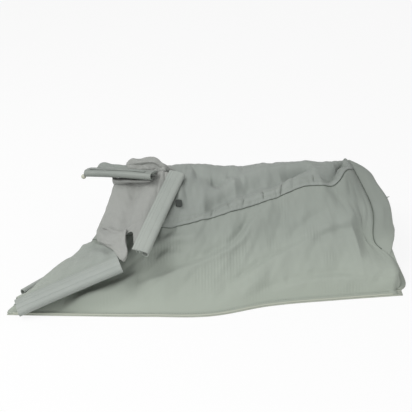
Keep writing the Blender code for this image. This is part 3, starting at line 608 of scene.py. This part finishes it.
seam_edge = top_points[0] + top_normals[0] * 0.0009
seam_strand = seam_edge[4:-6] - length_one(top_points[3] - top_points[0])[4:-6] * 0.0006
strand_radii = 0.00045 + 0.00025 * np.sin(np.linspace(0.0, 90.0, len(seam_strand))) ** 2
swept_round("near_seam_thread", seam_strand, strand_radii, 8, dark_thread_and_painted_shade)
stitch_line = top_points + top_normals * STITCH_LIFT
for row, name in ((4, "near_seam_stitches_lower"), (8, "near_seam_stitches_upper"),
                  (-4, "far_seam_stitches")):
    stitch_row(name, stitch_line[row, 3:-3], top_normals[row, 3:-3], 0.0026, 0.0036, stitch_finish)
binding_tape = woven_finish("binding_tape_weave", ((0.400, 0.395, 0.330), (0.455, 0.450, 0.380),
                                                  (0.420, 0.415, 0.350), (0.360, 0.355, 0.300)),
                            0.0009, 0.0028, 0.10, 0.25, 0.75, 0.05)
foot_line = (near_points[0] + near_out * 0.0045)[3:-3] + np.array((0.0, 0.0, 0.0008))
stitch_row("near_foot_stitches", foot_line, np.tile((0.0, 0.0, 1.0), (len(foot_line), 1)), 0.0030, 0.0042,
           stitch_finish)
foot_binding = near_points[0] + near_out * (near_hem_width + 0.0002) + np.array((0.0, 0.0, 0.0002))
swept_round("near_foot_binding", foot_binding[2:-2], np.full(len(foot_binding) - 4, 0.0014), 10, binding_tape)
rear_seam = rear_skin[near_part, -1] + rear_normals[near_part, -1] * 0.0004 + np.array((0.0004, 0.0, 0.0))
swept_round("rear_seam_thread", rear_seam[50:], np.full(len(rear_seam) - 50, 0.0006), 8, dark_thread_and_painted_shade)

# The plastic channels. Each is a straight extrusion in satin plastic: a plate with a low bead along its
# cloth edge and a gentle crown, a round hook that snaps over a 9 mm wire, and two ribs below that grip the
# flap's cloth.
PLATE_WIDTH = 0.028
PLATE_WALL = 0.0014
HOOK_BORE = 0.0047
HOOK_OUTER = 0.0061
RIB_GAP = 0.0035
RIB_DEPTH = 0.0045
CHANNELS = {
    "near_channel": ((-0.342, -0.408, 0.304), 13.7, 19.0, 25.8, 0.176),
    "top_channel": ((-0.139, -0.154, 0.738), 71.1, 20.0, 4.0, 0.180),
    "far_channel": ((-0.219, 0.068, 0.912), -19.9, 6.4, -15.0, 0.126),
    "base_channel": ((-0.364, -0.227, 0.000), 52.0, 0.0, 180.0, 0.150),
}


def channel_place(spot, heading, rise, roll):
    """A channel's middle and its directions across, up and along, from its heading, rise and roll in
    degrees."""
    turn, lift, tilt = math.radians(heading), math.radians(rise), math.radians(roll)
    along = np.array((math.cos(turn) * math.cos(lift), math.sin(turn) * math.cos(lift), math.sin(lift)))
    level = np.array((math.sin(turn), -math.cos(turn), 0.0))
    upright = np.cross(level, along)
    across = level * math.cos(tilt) - upright * math.sin(tilt)
    up = upright * math.cos(tilt) + level * math.sin(tilt)
    return np.array(spot) * BAG_SIZE + (0.0, 0.0, FOOT_HEIGHT) + BAG_CENTRE, across, up, along


def channel_profile(crown):
    """The closed outline of a channel: over the bead and the crowned plate with its two drawn grooves,
    round the outside of the hook, back along its bore, and under the plate past the two ribs. The crown is
    a half sine over the plate's width, and each groove is a small bell."""
    width = np.linspace(0.0, PLATE_WIDTH - HOOK_OUTER, 89)
    rise = crown * np.sin(math.pi * np.clip(width / (PLATE_WIDTH - HOOK_OUTER), 0.0, 1.0))
    bead = 0.0006 * np.clip((0.0046 - np.abs(width - 0.0024) * 2) / 0.0016, 0.0, 1.0)
    grooves = 0.0004 * (np.exp(-((width - 0.0098) / 0.0006) ** 2) + np.exp(-((width - 0.0182) / 0.0006) ** 2))
    over = np.stack((width, rise + bead - grooves), axis=-1)
    over[0] += (0.0, -0.0003)
    outer = np.radians(np.linspace(88.0, -155.0, 34))
    outside = np.stack((PLATE_WIDTH - HOOK_OUTER + HOOK_OUTER * np.cos(outer),
                        -HOOK_OUTER + HOOK_OUTER * np.sin(outer)), axis=-1)
    inner = np.radians(np.linspace(-155.0, 90.0, 30))
    inside = np.stack((PLATE_WIDTH - HOOK_OUTER + HOOK_BORE * np.cos(inner),
                       -HOOK_OUTER + HOOK_BORE * np.sin(inner)), axis=-1)
    low = -PLATE_WALL - RIB_DEPTH
    first = PLATE_WIDTH - 2 * HOOK_OUTER - 0.0035
    second = first - RIB_GAP
    ribs = np.array(((first + PLATE_WALL, -PLATE_WALL), (first + PLATE_WALL, low), (first, low),
                     (first, -PLATE_WALL), (second, -PLATE_WALL), (second, low), (second - PLATE_WALL, low),
                     (second - PLATE_WALL, -PLATE_WALL)))
    return np.concatenate((over, outside, inside, ribs, ((0.0, -PLATE_WALL + 0.0002),)))


def channel_piece(name, place, length, bow, finish):
    """The profile carried along a line with a slight bow, a half sine of the length, and closed at both
    ends."""
    middle, across, up, along = place
    profile = channel_profile(0.0012)
    shares = np.linspace(-0.5, 0.5, 49)
    arch = bow * np.cos(math.pi * shares)
    points = (middle + (shares * length)[:, None, None] * along
              + profile[None, :, :1] * across + (profile[None, :, 1:] + arch[:, None, None]) * up)
    lengths = np.stack(np.meshgrid(run_lengths(profile), shares * length), axis=-1)[..., ::-1].reshape(-1, 2)
    piece = smooth_piece(name, points.reshape(-1, 3), tube_faces(len(shares), len(profile)), finish,
                         "channel lengths", lengths)
    piece.data.set_sharp_from_angle(angle=math.radians(40))
    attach(piece, "root")
    return piece


channel_plastic, plastic_tree, plastic_shader = principled("channel_satin_plastic", 0.5)
plastic_shader.inputs["Specular IOR Level"].default_value = 0.4
plastic_lengths = plastic_tree.nodes.new("ShaderNodeUVMap")
plastic_lengths.uv_map = "channel lengths"
drawn_out = wired(plastic_tree, "ShaderNodeMapping", {"Vector": plastic_lengths.outputs["UV"],
                                                      "Scale": (9.0, 700.0, 1.0)})
streaks = wired(plastic_tree, "ShaderNodeTexNoise", {"Vector": drawn_out.outputs["Vector"], "Scale": 1.0,
                                                     "Detail": 3.0}).outputs["Fac"]
plastic_tone = noise_tint(plastic_tree, 14.0, 3.0, 0.35, 0.7, (0.262, 0.284, 0.264), (0.312, 0.334, 0.308))
plastic_tone = blended(plastic_tree, maths(plastic_tree, "MULTIPLY", streaks, 0.35), plastic_tone,
                       (0.300, 0.330, 0.300))
plastic_tree.links.new(plastic_tone, plastic_shader.inputs["Base Color"])
plastic_wear = ranged(plastic_tree, streaks, 0.0, 1.0, 0.38, 0.60)
plastic_tree.links.new(plastic_wear, plastic_shader.inputs["Roughness"])
bumped(plastic_tree, plastic_shader, streaks, 0.25, 0.0003)

# The near channel gets a slightly darker copy of the plastic, and the far channel a darker one still, which is
# painted shade.
darker_plastics = {"near_channel": channel_plastic.copy(), "far_channel": channel_plastic.copy()}
for channel_name, (darker_low_tone, darker_high_tone) in (("near_channel", ((0.225, 0.246, 0.228), (0.270, 0.290, 0.268))),
                                    ("far_channel", ((0.165, 0.180, 0.166), (0.210, 0.227, 0.208)))):
    darker_plastics[channel_name].name = channel_name + "_plastic"
    for darker_ramp_node in darker_plastics[channel_name].node_tree.nodes:
        if darker_ramp_node.type == "VALTORGB":
            darker_ramp_node.color_ramp.elements[0].color = (*darker_low_tone, 1.0)
            darker_ramp_node.color_ramp.elements[1].color = (*darker_high_tone, 1.0)

places = {}
for channel_name, (spot, heading, rise, roll, length) in CHANNELS.items():
    places[channel_name] = channel_place(spot, heading, rise, roll)
    strip = channel_piece(channel_name + "_strip", places[channel_name], length,
                          0.0 if channel_name == "base_channel" else 0.0012,
                          darker_plastics.get(channel_name, channel_plastic))
    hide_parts(channel_name)

# The flaps. Each is plain cloth sewn inside the mouth's edge, folded back over it, and gripped under its
# channel's plate.
FLAP_COLUMNS = 16
LAP_COLUMN = 5
FOLD_REACH = 0.003
FLAP_MARGIN = 0.008
FLAP_DROP = PLATE_WALL + 0.0005 + PLAIN_THICKNESS / 2
GRIP_START = 0.003
GRIP_DEPTH = 0.0098


def finer(grid, rows, columns):
    """A grid with more rows and columns, by cubics through its points with slopes of the points on each
    side."""
    for axis, count in ((0, rows), (1, columns)):
        grid = np.moveaxis(grid, axis, 0)
        slopes = np.gradient(grid, axis=0)
        wanted = np.linspace(0.0, len(grid) - 1.0, count)
        piece = np.clip(np.floor(wanted).astype(int), 0, len(grid) - 2)
        share = (wanted - piece).reshape(-1, 1, 1)
        grid = cubic(grid[piece], slopes[piece], grid[piece + 1], slopes[piece + 1], share)
        grid = np.moveaxis(grid, 0, axis)
    return grid


def creased(points, creases, wave_height, seed):
    """Cloth pushed along its normals by creases and soft waves. A crease's path is in shares of the grid's
    rows and columns, and its width and height are in metres."""
    over, down = grid_lengths(points)
    spots = np.stack((down, over), axis=-1)
    rise = slack_waves(over, down, 0.060, 0.012, wave_height, seed)
    last = np.array(points.shape[:2]) - 1
    for path, half_width, height in creases:
        line = [spots[tuple(np.round(np.array(share) * last).astype(int))] for share in path]
        rise = rise + height * fold_share(spots, line, half_width, half_width)
    hold = np.clip(np.linspace(1.0, 0.0, points.shape[0])[:, None] / 0.12, 0.0, 1.0)
    return points + outward(points) * (rise * hold)[..., None]


def flap_grid(mouth, lift, channel, slack, loft):
    """A flap's coarse surface: the lap inside the mouth, the fold over its edge, and a cubic from there to
    the channel, with pulls of slack times the distance, that leaves the mouth at the loft's angle."""
    middle, across, up, along = places[channel]
    rounds = np.linspace(*mouth, FLAP_COLUMNS + 1)
    order = np.argsort(rounds)
    points, normals = body_skin(LONG_PLACES[:8], rounds[order])
    points, normals = points[np.argsort(order)], normals[np.argsort(order)]
    normal = normals[:, 0]
    forward = length_one(points[:, 0] - points[:, LAP_COLUMN])
    edge = points[:, 0] + normal * lift
    lap = points[:, LAP_COLUMN] + normal * lift
    inside = MESH_THICKNESS / 2 + INNER_GAP + PLAIN_THICKNESS / 2
    rows = (lap - normal * inside, edge - normal * inside + forward * PLAIN_THICKNESS,
            edge + forward * FOLD_REACH, edge + normal * FOLD_REACH + forward * PLAIN_THICKNESS)
    reach = np.linspace(-0.5, 0.5, FLAP_COLUMNS + 1)[:, None] * (CHANNELS[channel][-1] - FLAP_MARGIN) * along
    end = middle + reach - up * FLAP_DROP - across * GRIP_START
    size = np.linalg.norm(end - rows[-1], axis=-1, keepdims=True) * slack
    run = [cubic(rows[-1], (normal * loft - forward) * size, end, across * size, t)
           for t in np.linspace(0.0, 1.0, 9)[1:]]
    return np.stack((*rows, *run, end + across * GRIP_DEPTH))


NEAR_ROWS = 120
NEAR_COLUMNS = 150
near_flap_net = finer(flap_grid((0.15, 1.72), 0.0, "near_channel", 0.8, 0.6), NEAR_ROWS, NEAR_COLUMNS)
near_edge_run = length_one(np.gradient(near_flap_net, axis=1))
near_edge_down = np.linspace(0.0, 1.0, NEAR_ROWS)[:, None]
near_edge_reach = (0.002 * np.clip(near_edge_down / 0.4, 0.0, 1.0)
                   + 0.006 * np.exp(-((near_edge_down - 0.9) / 0.2) ** 2))
near_edge_reach = near_edge_reach * np.linspace(0.0, 1.0, NEAR_COLUMNS) ** 8
near_flap_net = near_flap_net + near_edge_run * near_edge_reach[..., None]
near_flap_points = creased(near_flap_net,
                           ((((0.45, 0.2), (0.8, 0.5)), 0.010, 0.0020),
                            (((0.5, 0.62), (0.85, 0.8)), 0.009, -0.0020),
                            (((0.05, 1.0), (0.30, 1.0), (0.45, 1.0)), 0.016, -0.0030),
                            (((0.45, 0.97), (0.62, 0.97), (0.85, 0.97)), 0.008, 0.0050),
                            (((0.18, 0.25), (0.18, 0.50), (0.18, 0.80)), 0.024, -0.0016),
                            (((0.60, 0.84), (0.92, 0.92)), 0.006, -0.0020)), 0.0005, 21)
near_flap = cloth_grid("near_flap_cloth", near_flap_points, PLAIN_THICKNESS, plain_cloth_painted_shade)
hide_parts("near_flap")

# The top flap's near edge is drawn in beside the channel, by taking its cloth from further along each row.
TOP_ROWS = 130
TOP_COLUMNS = 150
top_flap_net = finer(flap_grid((2.12, 2.98), LAP_LIFT, "top_channel", 0.8, 0.3), TOP_ROWS, TOP_COLUMNS)
flap_down = np.linspace(0.0, 1.0, TOP_ROWS)[:, None]
flap_over = np.linspace(0.0, 1.0, TOP_COLUMNS)[None, :]
drawn_in = flap_over + 0.17 * np.exp(-((flap_down - 0.83) / 0.09) ** 2) * (1 - flap_over) ** 4
drawn_in = drawn_in * (TOP_COLUMNS - 1.001)
drawn_step = np.floor(drawn_in).astype(int)[..., None]
drawn_share = drawn_in[..., None] - drawn_step
top_flap_net = (np.take_along_axis(top_flap_net, drawn_step, axis=1) * (1 - drawn_share)
                + np.take_along_axis(top_flap_net, drawn_step + 1, axis=1) * drawn_share)
top_flap_points = creased(top_flap_net,
                          ((((0.42, 0.02), (0.54, 0.03), (0.66, 0.07), (0.76, 0.10)), 0.0045, -0.0050),
                           (((0.42, 0.20), (0.52, 0.21), (0.62, 0.21)), 0.008, -0.0016),
                           (((0.50, 1.0), (0.62, 0.80), (0.60, 0.60), (0.66, 0.30), (0.74, 0.10)),
                            0.012, 0.0060),
                           (((0.66, 1.0), (0.76, 0.78), (0.84, 0.60), (0.90, 0.40), (0.88, 0.16)),
                            0.018, -0.0045),
                           (((0.88, 0.98), (0.88, 0.88), (0.90, 0.76)), 0.004, -0.0040)), 0.0004, 22)
top_flap = cloth_grid("top_flap_cloth", top_flap_points, PLAIN_THICKNESS, plain_cloth)
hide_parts("top_flap")

far_flap_points = creased(finer(flap_grid((5.55, 3.35), 0.0, "far_channel", 1.1, 1.4), 150, 120),
                          ((((0.62, 0.05), (0.80, 0.10), (0.93, 0.2)), 0.020, 0.006),
                           (((0.7, 0.5), (0.9, 0.6)), 0.012, -0.002)), 0.0007, 23)
far_flap = cloth_grid("far_flap_cloth", far_flap_points, PLAIN_THICKNESS, plain_cloth)
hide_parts("far_flap")

base_middle, base_across, base_up, base_along = places["base_channel"]
base_length = CHANNELS["base_channel"][-1] - FLAP_MARGIN
base_reach = np.linspace(-0.5, 0.5, FLAP_COLUMNS + 1)[:, None] * base_length * base_along
base_edge = base_middle + base_reach - base_up * FLAP_DROP - base_across * GRIP_START
base_root = base_edge + np.array((0.045, 0.0, 0.0))
base_root[:, 2] = 0.0024
base_sewn = base_root - np.array((0.0225, 0.0, 0.0))
base_flap_points = np.stack((base_root, base_sewn, base_edge, base_edge + base_across * GRIP_DEPTH))
base_flap = cloth_grid("base_flap_cloth", finer(base_flap_points, 30, 90), PLAIN_THICKNESS, plain_cloth)
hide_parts("base_flap")

# The corner gussets. Between the near and top flaps a triangle of cloth wraps round and ends in a free lip,
# and at the far corner the spare cloth between the top and far flaps has crumpled behind the far channel's
# end.
near_gusset_net = np.array((
    ((-181, -55, 87), (-170, -66, 89), (-155, -78, 94), (-142, -90, 100), (-134, -97, 104),
     (-130, -99, 107), (-130, -94, 104)),
    ((-183, -64, 85), (-170, -82, 89), (-155, -95, 95), (-141, -108, 102), (-133, -115, 106),
     (-129, -117, 110), (-129, -109, 105)),
    ((-183, -72, 80), (-169, -92, 86), (-154, -108, 92), (-140, -121, 96), (-132, -130, 101),
     (-128, -132, 102), (-128, -123, 96)),
    ((-181, -80, 77), (-167, -99, 82), (-152, -116, 86), (-139, -131, 89), (-130, -140, 93),
     (-125, -142, 94), (-126, -132, 87)),
    ((-179, -84, 77), (-165, -103, 83), (-151, -121, 85), (-139, -137, 87), (-132, -145, 87),
     (-127, -146, 86), (-127, -137, 79)),
    ((-177, -84, 75), (-164, -104, 80), (-150, -123, 83), (-141, -139, 82), (-136, -146, 80),
     (-131, -147, 77), (-130, -138, 71)),
)) / 1000 + BAG_CENTRE
near_gusset_points = creased(finer(near_gusset_net, 80, 100),
                             ((((0.62, 0.12), (0.55, 0.30), (0.42, 0.42)), 0.003, -0.0022),
                              (((0.50, 0.30), (0.30, 0.55), (0.18, 0.75)), 0.005, 0.0018)), 0.0004, 31)
near_gusset = cloth_grid("near_corner_gusset", near_gusset_points, PLAIN_THICKNESS, plain_cloth)

far_gusset_net = np.array((
    ((-140, 75, 135), (-135, 75, 137), (-122, 75, 139), (-107, 75, 141), (-93, 75, 141), (-84, 75, 137),
     (-72, 75, 134), (-58, 75, 131)),
    ((-138, 52, 155), (-133, 52, 162), (-119, 52, 164), (-105, 52, 166), (-91, 52, 166), (-83, 52, 160),
     (-70, 52, 152), (-57, 52, 145)),
    ((-138, 38, 159), (-130, 36, 163), (-118, 34, 165), (-104, 32, 168), (-90, 32, 168), (-80, 34, 161),
     (-68, 38, 153), (-56, 42, 147)),
    ((-138, 35, 158), (-129, 34, 161), (-116, 32, 162), (-103, 30, 163), (-89, 30, 163), (-79, 32, 157),
     (-68, 37, 151), (-56, 42, 146)),
    ((-136, 32, 157), (-128, 30, 159), (-114, 26, 159), (-102, 22, 163), (-88, 22, 161), (-79, 26, 155),
     (-69, 33, 151), (-58, 40, 145)),
    ((-135, 30, 155), (-126, 27, 156), (-112, 22, 157), (-101, 17, 159), (-90, 15, 156), (-82, 20, 150),
     (-73, 29, 146), (-61, 38, 143)),
    ((-134, 32, 148), (-125, 30, 148), (-113, 27, 147), (-102, 23, 147), (-93, 20, 142), (-85, 24, 138),
     (-75, 31, 137), (-63, 39, 139)),
)) / 1000 + BAG_CENTRE
far_gusset_points = creased(finer(far_gusset_net, 120, 130),
                            ((((0.20, 0.15), (0.34, 0.35), (0.24, 0.55)), 0.004, -0.0030),
                             (((0.25, 0.55), (0.36, 0.75), (0.30, 0.95)), 0.004, -0.0030),
                             (((0.62, 0.35), (0.80, 0.50)), 0.004, -0.0030),
                             (((0.66, 0.55), (0.86, 0.66)), 0.004, 0.0025),
                             (((0.60, 0.72), (0.80, 0.86)), 0.004, -0.0030)), 0.0009, 32)
far_gusset = cloth_grid("far_corner_gusset", far_gusset_points, PLAIN_THICKNESS, plain_cloth)

# The cloth over the far channel's plate. The far flap's end is wrapped up over the plate and stands behind
# the hook as a low fan.
far_wrap_net = np.array((
    ((-203, 60, 131), (-194, 60, 135), (-183, 60, 141), (-161, 54, 143), (-137, 46, 145), (-115, 38, 146),
     (-94, 32, 145)),
    ((-199, 54, 140), (-192, 54, 146), (-181, 52, 156), (-159, 46, 156), (-136, 38, 157), (-115, 31, 156),
     (-93, 26, 153)),
    ((-197, 44, 144), (-188, 42, 148), (-176, 39, 154), (-157, 34, 155), (-135, 28, 157), (-114, 23, 156),
     (-95, 20, 154)),
)) / 1000 + BAG_CENTRE
wrap_middle, wrap_across, wrap_up, wrap_along = places["far_channel"]
wrap_reach = wrap_middle + np.linspace(-0.055, 0.050, far_wrap_net.shape[1])[:, None] * wrap_along
wrap_hook = wrap_reach + (PLATE_WIDTH - HOOK_OUTER) * wrap_across - HOOK_OUTER * wrap_up
wrap_turns = np.radians((112.0, 92.0))[:, None, None]
wrap_round = np.cos(wrap_turns) * wrap_across + np.sin(wrap_turns) * wrap_up
wrap_front = wrap_hook + (HOOK_OUTER + 0.0021) * wrap_round
far_wrap_points = creased(finer(np.concatenate((far_wrap_net, wrap_front)), 60, 120),
                          ((((0.45, 0.20), (0.60, 0.50)), 0.005, -0.0012),
                           (((0.40, 0.60), (0.60, 0.90)), 0.005, 0.0010)), 0.0004, 33)
far_wrap = cloth_grid("far_channel_wrap", far_wrap_points, PLAIN_THICKNESS, plain_cloth_painted_shade)

# The folded lip of the top flap, a narrow fold of its far edge that shows under the far channel.
flap_lip_net = np.array((
    ((-163, 24, 141), (-152, 20, 142), (-136, 14, 144), (-120, 8, 147), (-106, 4, 148), (-94, 4, 146)),
    ((-161, 14, 142), (-149, 8, 144), (-135, 2, 147), (-119, -3, 149), (-105, -6, 150), (-94, -4, 148)),
    ((-160, 12, 138), (-149, 6, 141), (-135, 1, 144), (-119, -3, 146), (-105, -5, 147), (-94, -3, 145)),
    ((-157, 14, 129), (-150, 10, 135), (-136, 6, 139), (-120, 3, 141), (-106, 1, 142), (-94, 1, 142)),
)) / 1000 + BAG_CENTRE
flap_lip_points = creased(finer(flap_lip_net, 50, 110), ((((0.30, 0.30), (0.50, 0.50)), 0.004, -0.0010),),
                          0.0003, 34)
flap_lip = cloth_grid("top_flap_lip", flap_lip_points, PLAIN_THICKNESS, plain_cloth)

# The clip. It is a small black moulding on the top panel beside the top channel, a block with rounded edges.
black_plastic = tinted_finish("black_moulded_plastic", 0.42, 120.0, 0.75, (0.010, 0.013, 0.011),
                              (0.026, 0.032, 0.027))


def powered(values, power):
    """Each value's size raised to a power, with its sign kept."""
    return np.sign(values) * np.abs(values) ** power


def rounded_block(name, middle, ahead, aside, above, size, squareness, finish):
    """A block with rounded edges: the rounded cube whose point at each pair of angles is a sphere's point
    with every sine and cosine raised to a power, set in a frame and scaled to its size."""
    turn = np.linspace(-math.pi, math.pi, 49)[:-1][None, :]
    tilt = np.linspace(-math.pi / 2, math.pi / 2, 25)[1:-1][:, None]
    level = powered(np.cos(tilt), squareness)
    shape = np.stack((level * powered(np.cos(turn), squareness), level * powered(np.sin(turn), squareness),
                      powered(np.sin(tilt), squareness) + 0 * turn), axis=-1) * np.array(size) / 2
    poles = np.array(((0.0, 0.0, -size[2] / 2), (0.0, 0.0, size[2] / 2)))
    flat = np.concatenate((shape.reshape(-1, 3), poles))
    points = middle + flat[:, :1] * ahead + flat[:, 1:2] * aside + flat[:, 2:] * above
    rows, columns = shape.shape[:2]
    faces = ring_quads(rows, columns).tolist()
    ring = np.arange(columns)
    faces += np.stack((np.roll(ring, -1), ring, np.full(columns, rows * columns)), axis=-1).tolist()
    top = ring + (rows - 1) * columns
    faces += np.stack((top, np.roll(top, -1), np.full(columns, rows * columns + 1)), axis=-1).tolist()
    piece = smooth_piece(name, points, faces, finish)
    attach(piece, "root")
    return piece


clip_row = int(np.argmin(np.abs(top_rounds - 2.26)))
clip_column = int(np.argmin(np.abs(LONG_PLACES - 0.288)))
clip_middle = top_points[clip_row, clip_column] + top_normals[clip_row, clip_column] * (LAP_LIFT + 0.0032)
clip_above = top_normals[clip_row, clip_column]
clip_ahead = length_one(top_points[clip_row, clip_column + 3] - top_points[clip_row, clip_column - 3])
clip_aside = length_one(np.cross(clip_above, clip_ahead))
clip_ahead = np.cross(clip_aside, clip_above)
clip = rounded_block("frame_clip_body", clip_middle, clip_ahead, clip_aside, clip_above,
                     (0.0110, 0.0120, 0.0045), 0.35, black_plastic)
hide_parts("frame_clip")

# The bead at the far channel's left end, a light moulded ball against the end of the hook.
bead_finish = tinted_finish("pale_moulded_bead", 0.5, 150.0, 0.7, (0.360, 0.365, 0.300),
                            (0.450, 0.455, 0.380))
bead_low, bead_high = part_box("end_bead")
bead_middle = (np.array(bead_low) + np.array(bead_high)) / 2
bead = rounded_block("end_bead_ball", bead_middle, np.array((1.0, 0.0, 0.0)), np.array((0.0, 1.0, 0.0)),
                     np.array((0.0, 0.0, 1.0)), (0.0085, 0.0085, 0.0085), 1.0, bead_finish)
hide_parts("end_bead")

# The loose end of seam tape at the rear, a short frayed tongue of cloth on the rear bulge.
tape_base = patch[int(REAR_STEPS_UP * 0.73), int(REAR_STEPS_ACROSS * 0.30)]
tape_line = tape_base + np.linspace(0.0, 1.0, 12)[:, None] * np.array((0.007, -0.002, 0.0035))
swept_round("rear_tape_end", tape_line, np.linspace(0.0016, 0.0004, 12), 8, stitch_finish)

# The studio: a pale floor that the camera sees as white, a soft key light high on the left with weaker
# lights in front and low on the right, and the camera at the photograph's angle.
FLOOR_REACH = 4.0


def seen_directly(tree):
    """One for a ray from the camera, off a glossy surface or through a clear one, and nought for any
    other."""
    rays = tree.nodes.new("ShaderNodeLightPath").outputs
    seen = maths(tree, "MAXIMUM", rays["Is Camera Ray"], rays["Is Glossy Ray"])
    return maths(tree, "MAXIMUM", seen, rays["Is Transmission Ray"])


floor_mesh = bpy.data.meshes.new("floor")
floor_corners = np.array(((-1, -1, 0), (1, -1, 0), (1, 1, 0), (-1, 1, 0))) * FLOOR_REACH
floor_mesh.from_pydata(floor_corners.tolist(), [], [(0, 1, 2, 3)])
floor = bpy.data.objects.new("floor", floor_mesh)
bpy.context.scene.collection.objects.link(floor)
floor_finish = bpy.data.materials.new("pale_floor")
floor_finish.use_nodes = True
floor_tree = floor_finish.node_tree
floor_tree.nodes.clear()
floor_diffuse = wired(floor_tree, "ShaderNodeBsdfDiffuse", {"Color": (0.80, 0.80, 0.80, 1.0)})
floor_glow = wired(floor_tree, "ShaderNodeEmission", {"Strength": 1.0})
floor_share = maths(floor_tree, "MULTIPLY", seen_directly(floor_tree), 0.88)
floor_mix = wired(floor_tree, "ShaderNodeMixShader", {"Fac": floor_share, 1: floor_diffuse.outputs[0],
                                                      2: floor_glow.outputs[0]})
wired(floor_tree, "ShaderNodeOutputMaterial", {"Surface": floor_mix.outputs[0]})
floor_mesh.materials.append(floor_finish)

world = bpy.data.worlds.new("studio")
world.use_nodes = True
world_tree = world.node_tree
world_back = world_tree.nodes["Background"]
world_back.inputs["Color"].default_value = (1.0, 1.0, 1.0, 1.0)
world_tree.links.new(ranged(world_tree, seen_directly(world_tree), 0.0, 1.0, 0.52, 1.0),
                     world_back.inputs["Strength"])
bpy.context.scene.world = world


def soft_light(name, place, aim, size, watts):
    """A square area light that faces a point."""
    data = bpy.data.lights.new(name, "AREA")
    data.size = size
    data.energy = watts
    lamp = bpy.data.objects.new(name, data)
    lamp.location = place
    lamp.rotation_euler = (Vector(aim) - Vector(place)).to_track_quat("-Z", "Y").to_euler()
    bpy.context.scene.collection.objects.link(lamp)


LIGHT_AIM = (0.0, 0.0, 0.05)
soft_light("key", (-0.95, -0.50, 1.60), LIGHT_AIM, 1.1, 21.5)
soft_light("front", (-0.35, -1.85, 0.55), LIGHT_AIM, 1.2, 8.5)
soft_light("fill", (1.6, -1.0, 0.25), LIGHT_AIM, 1.2, 6.5)

camera_data = bpy.data.cameras.new("camera")
camera_data.lens = 70.0
camera_data.sensor_width = 36.0
camera = bpy.data.objects.new("camera", camera_data)
aim_at = Vector((BAG_CENTRE[0], BAG_CENTRE[1], 0.098))
slope = math.radians(28.0)
camera.location = aim_at + Vector((0.0, -math.cos(slope), math.sin(slope))) * 1.39
camera.rotation_euler = (aim_at - camera.location).to_track_quat("-Z", "Y").to_euler()
bpy.context.scene.collection.objects.link(camera)
bpy.context.scene.camera = camera
bpy.context.scene.view_settings.view_transform = "Standard"
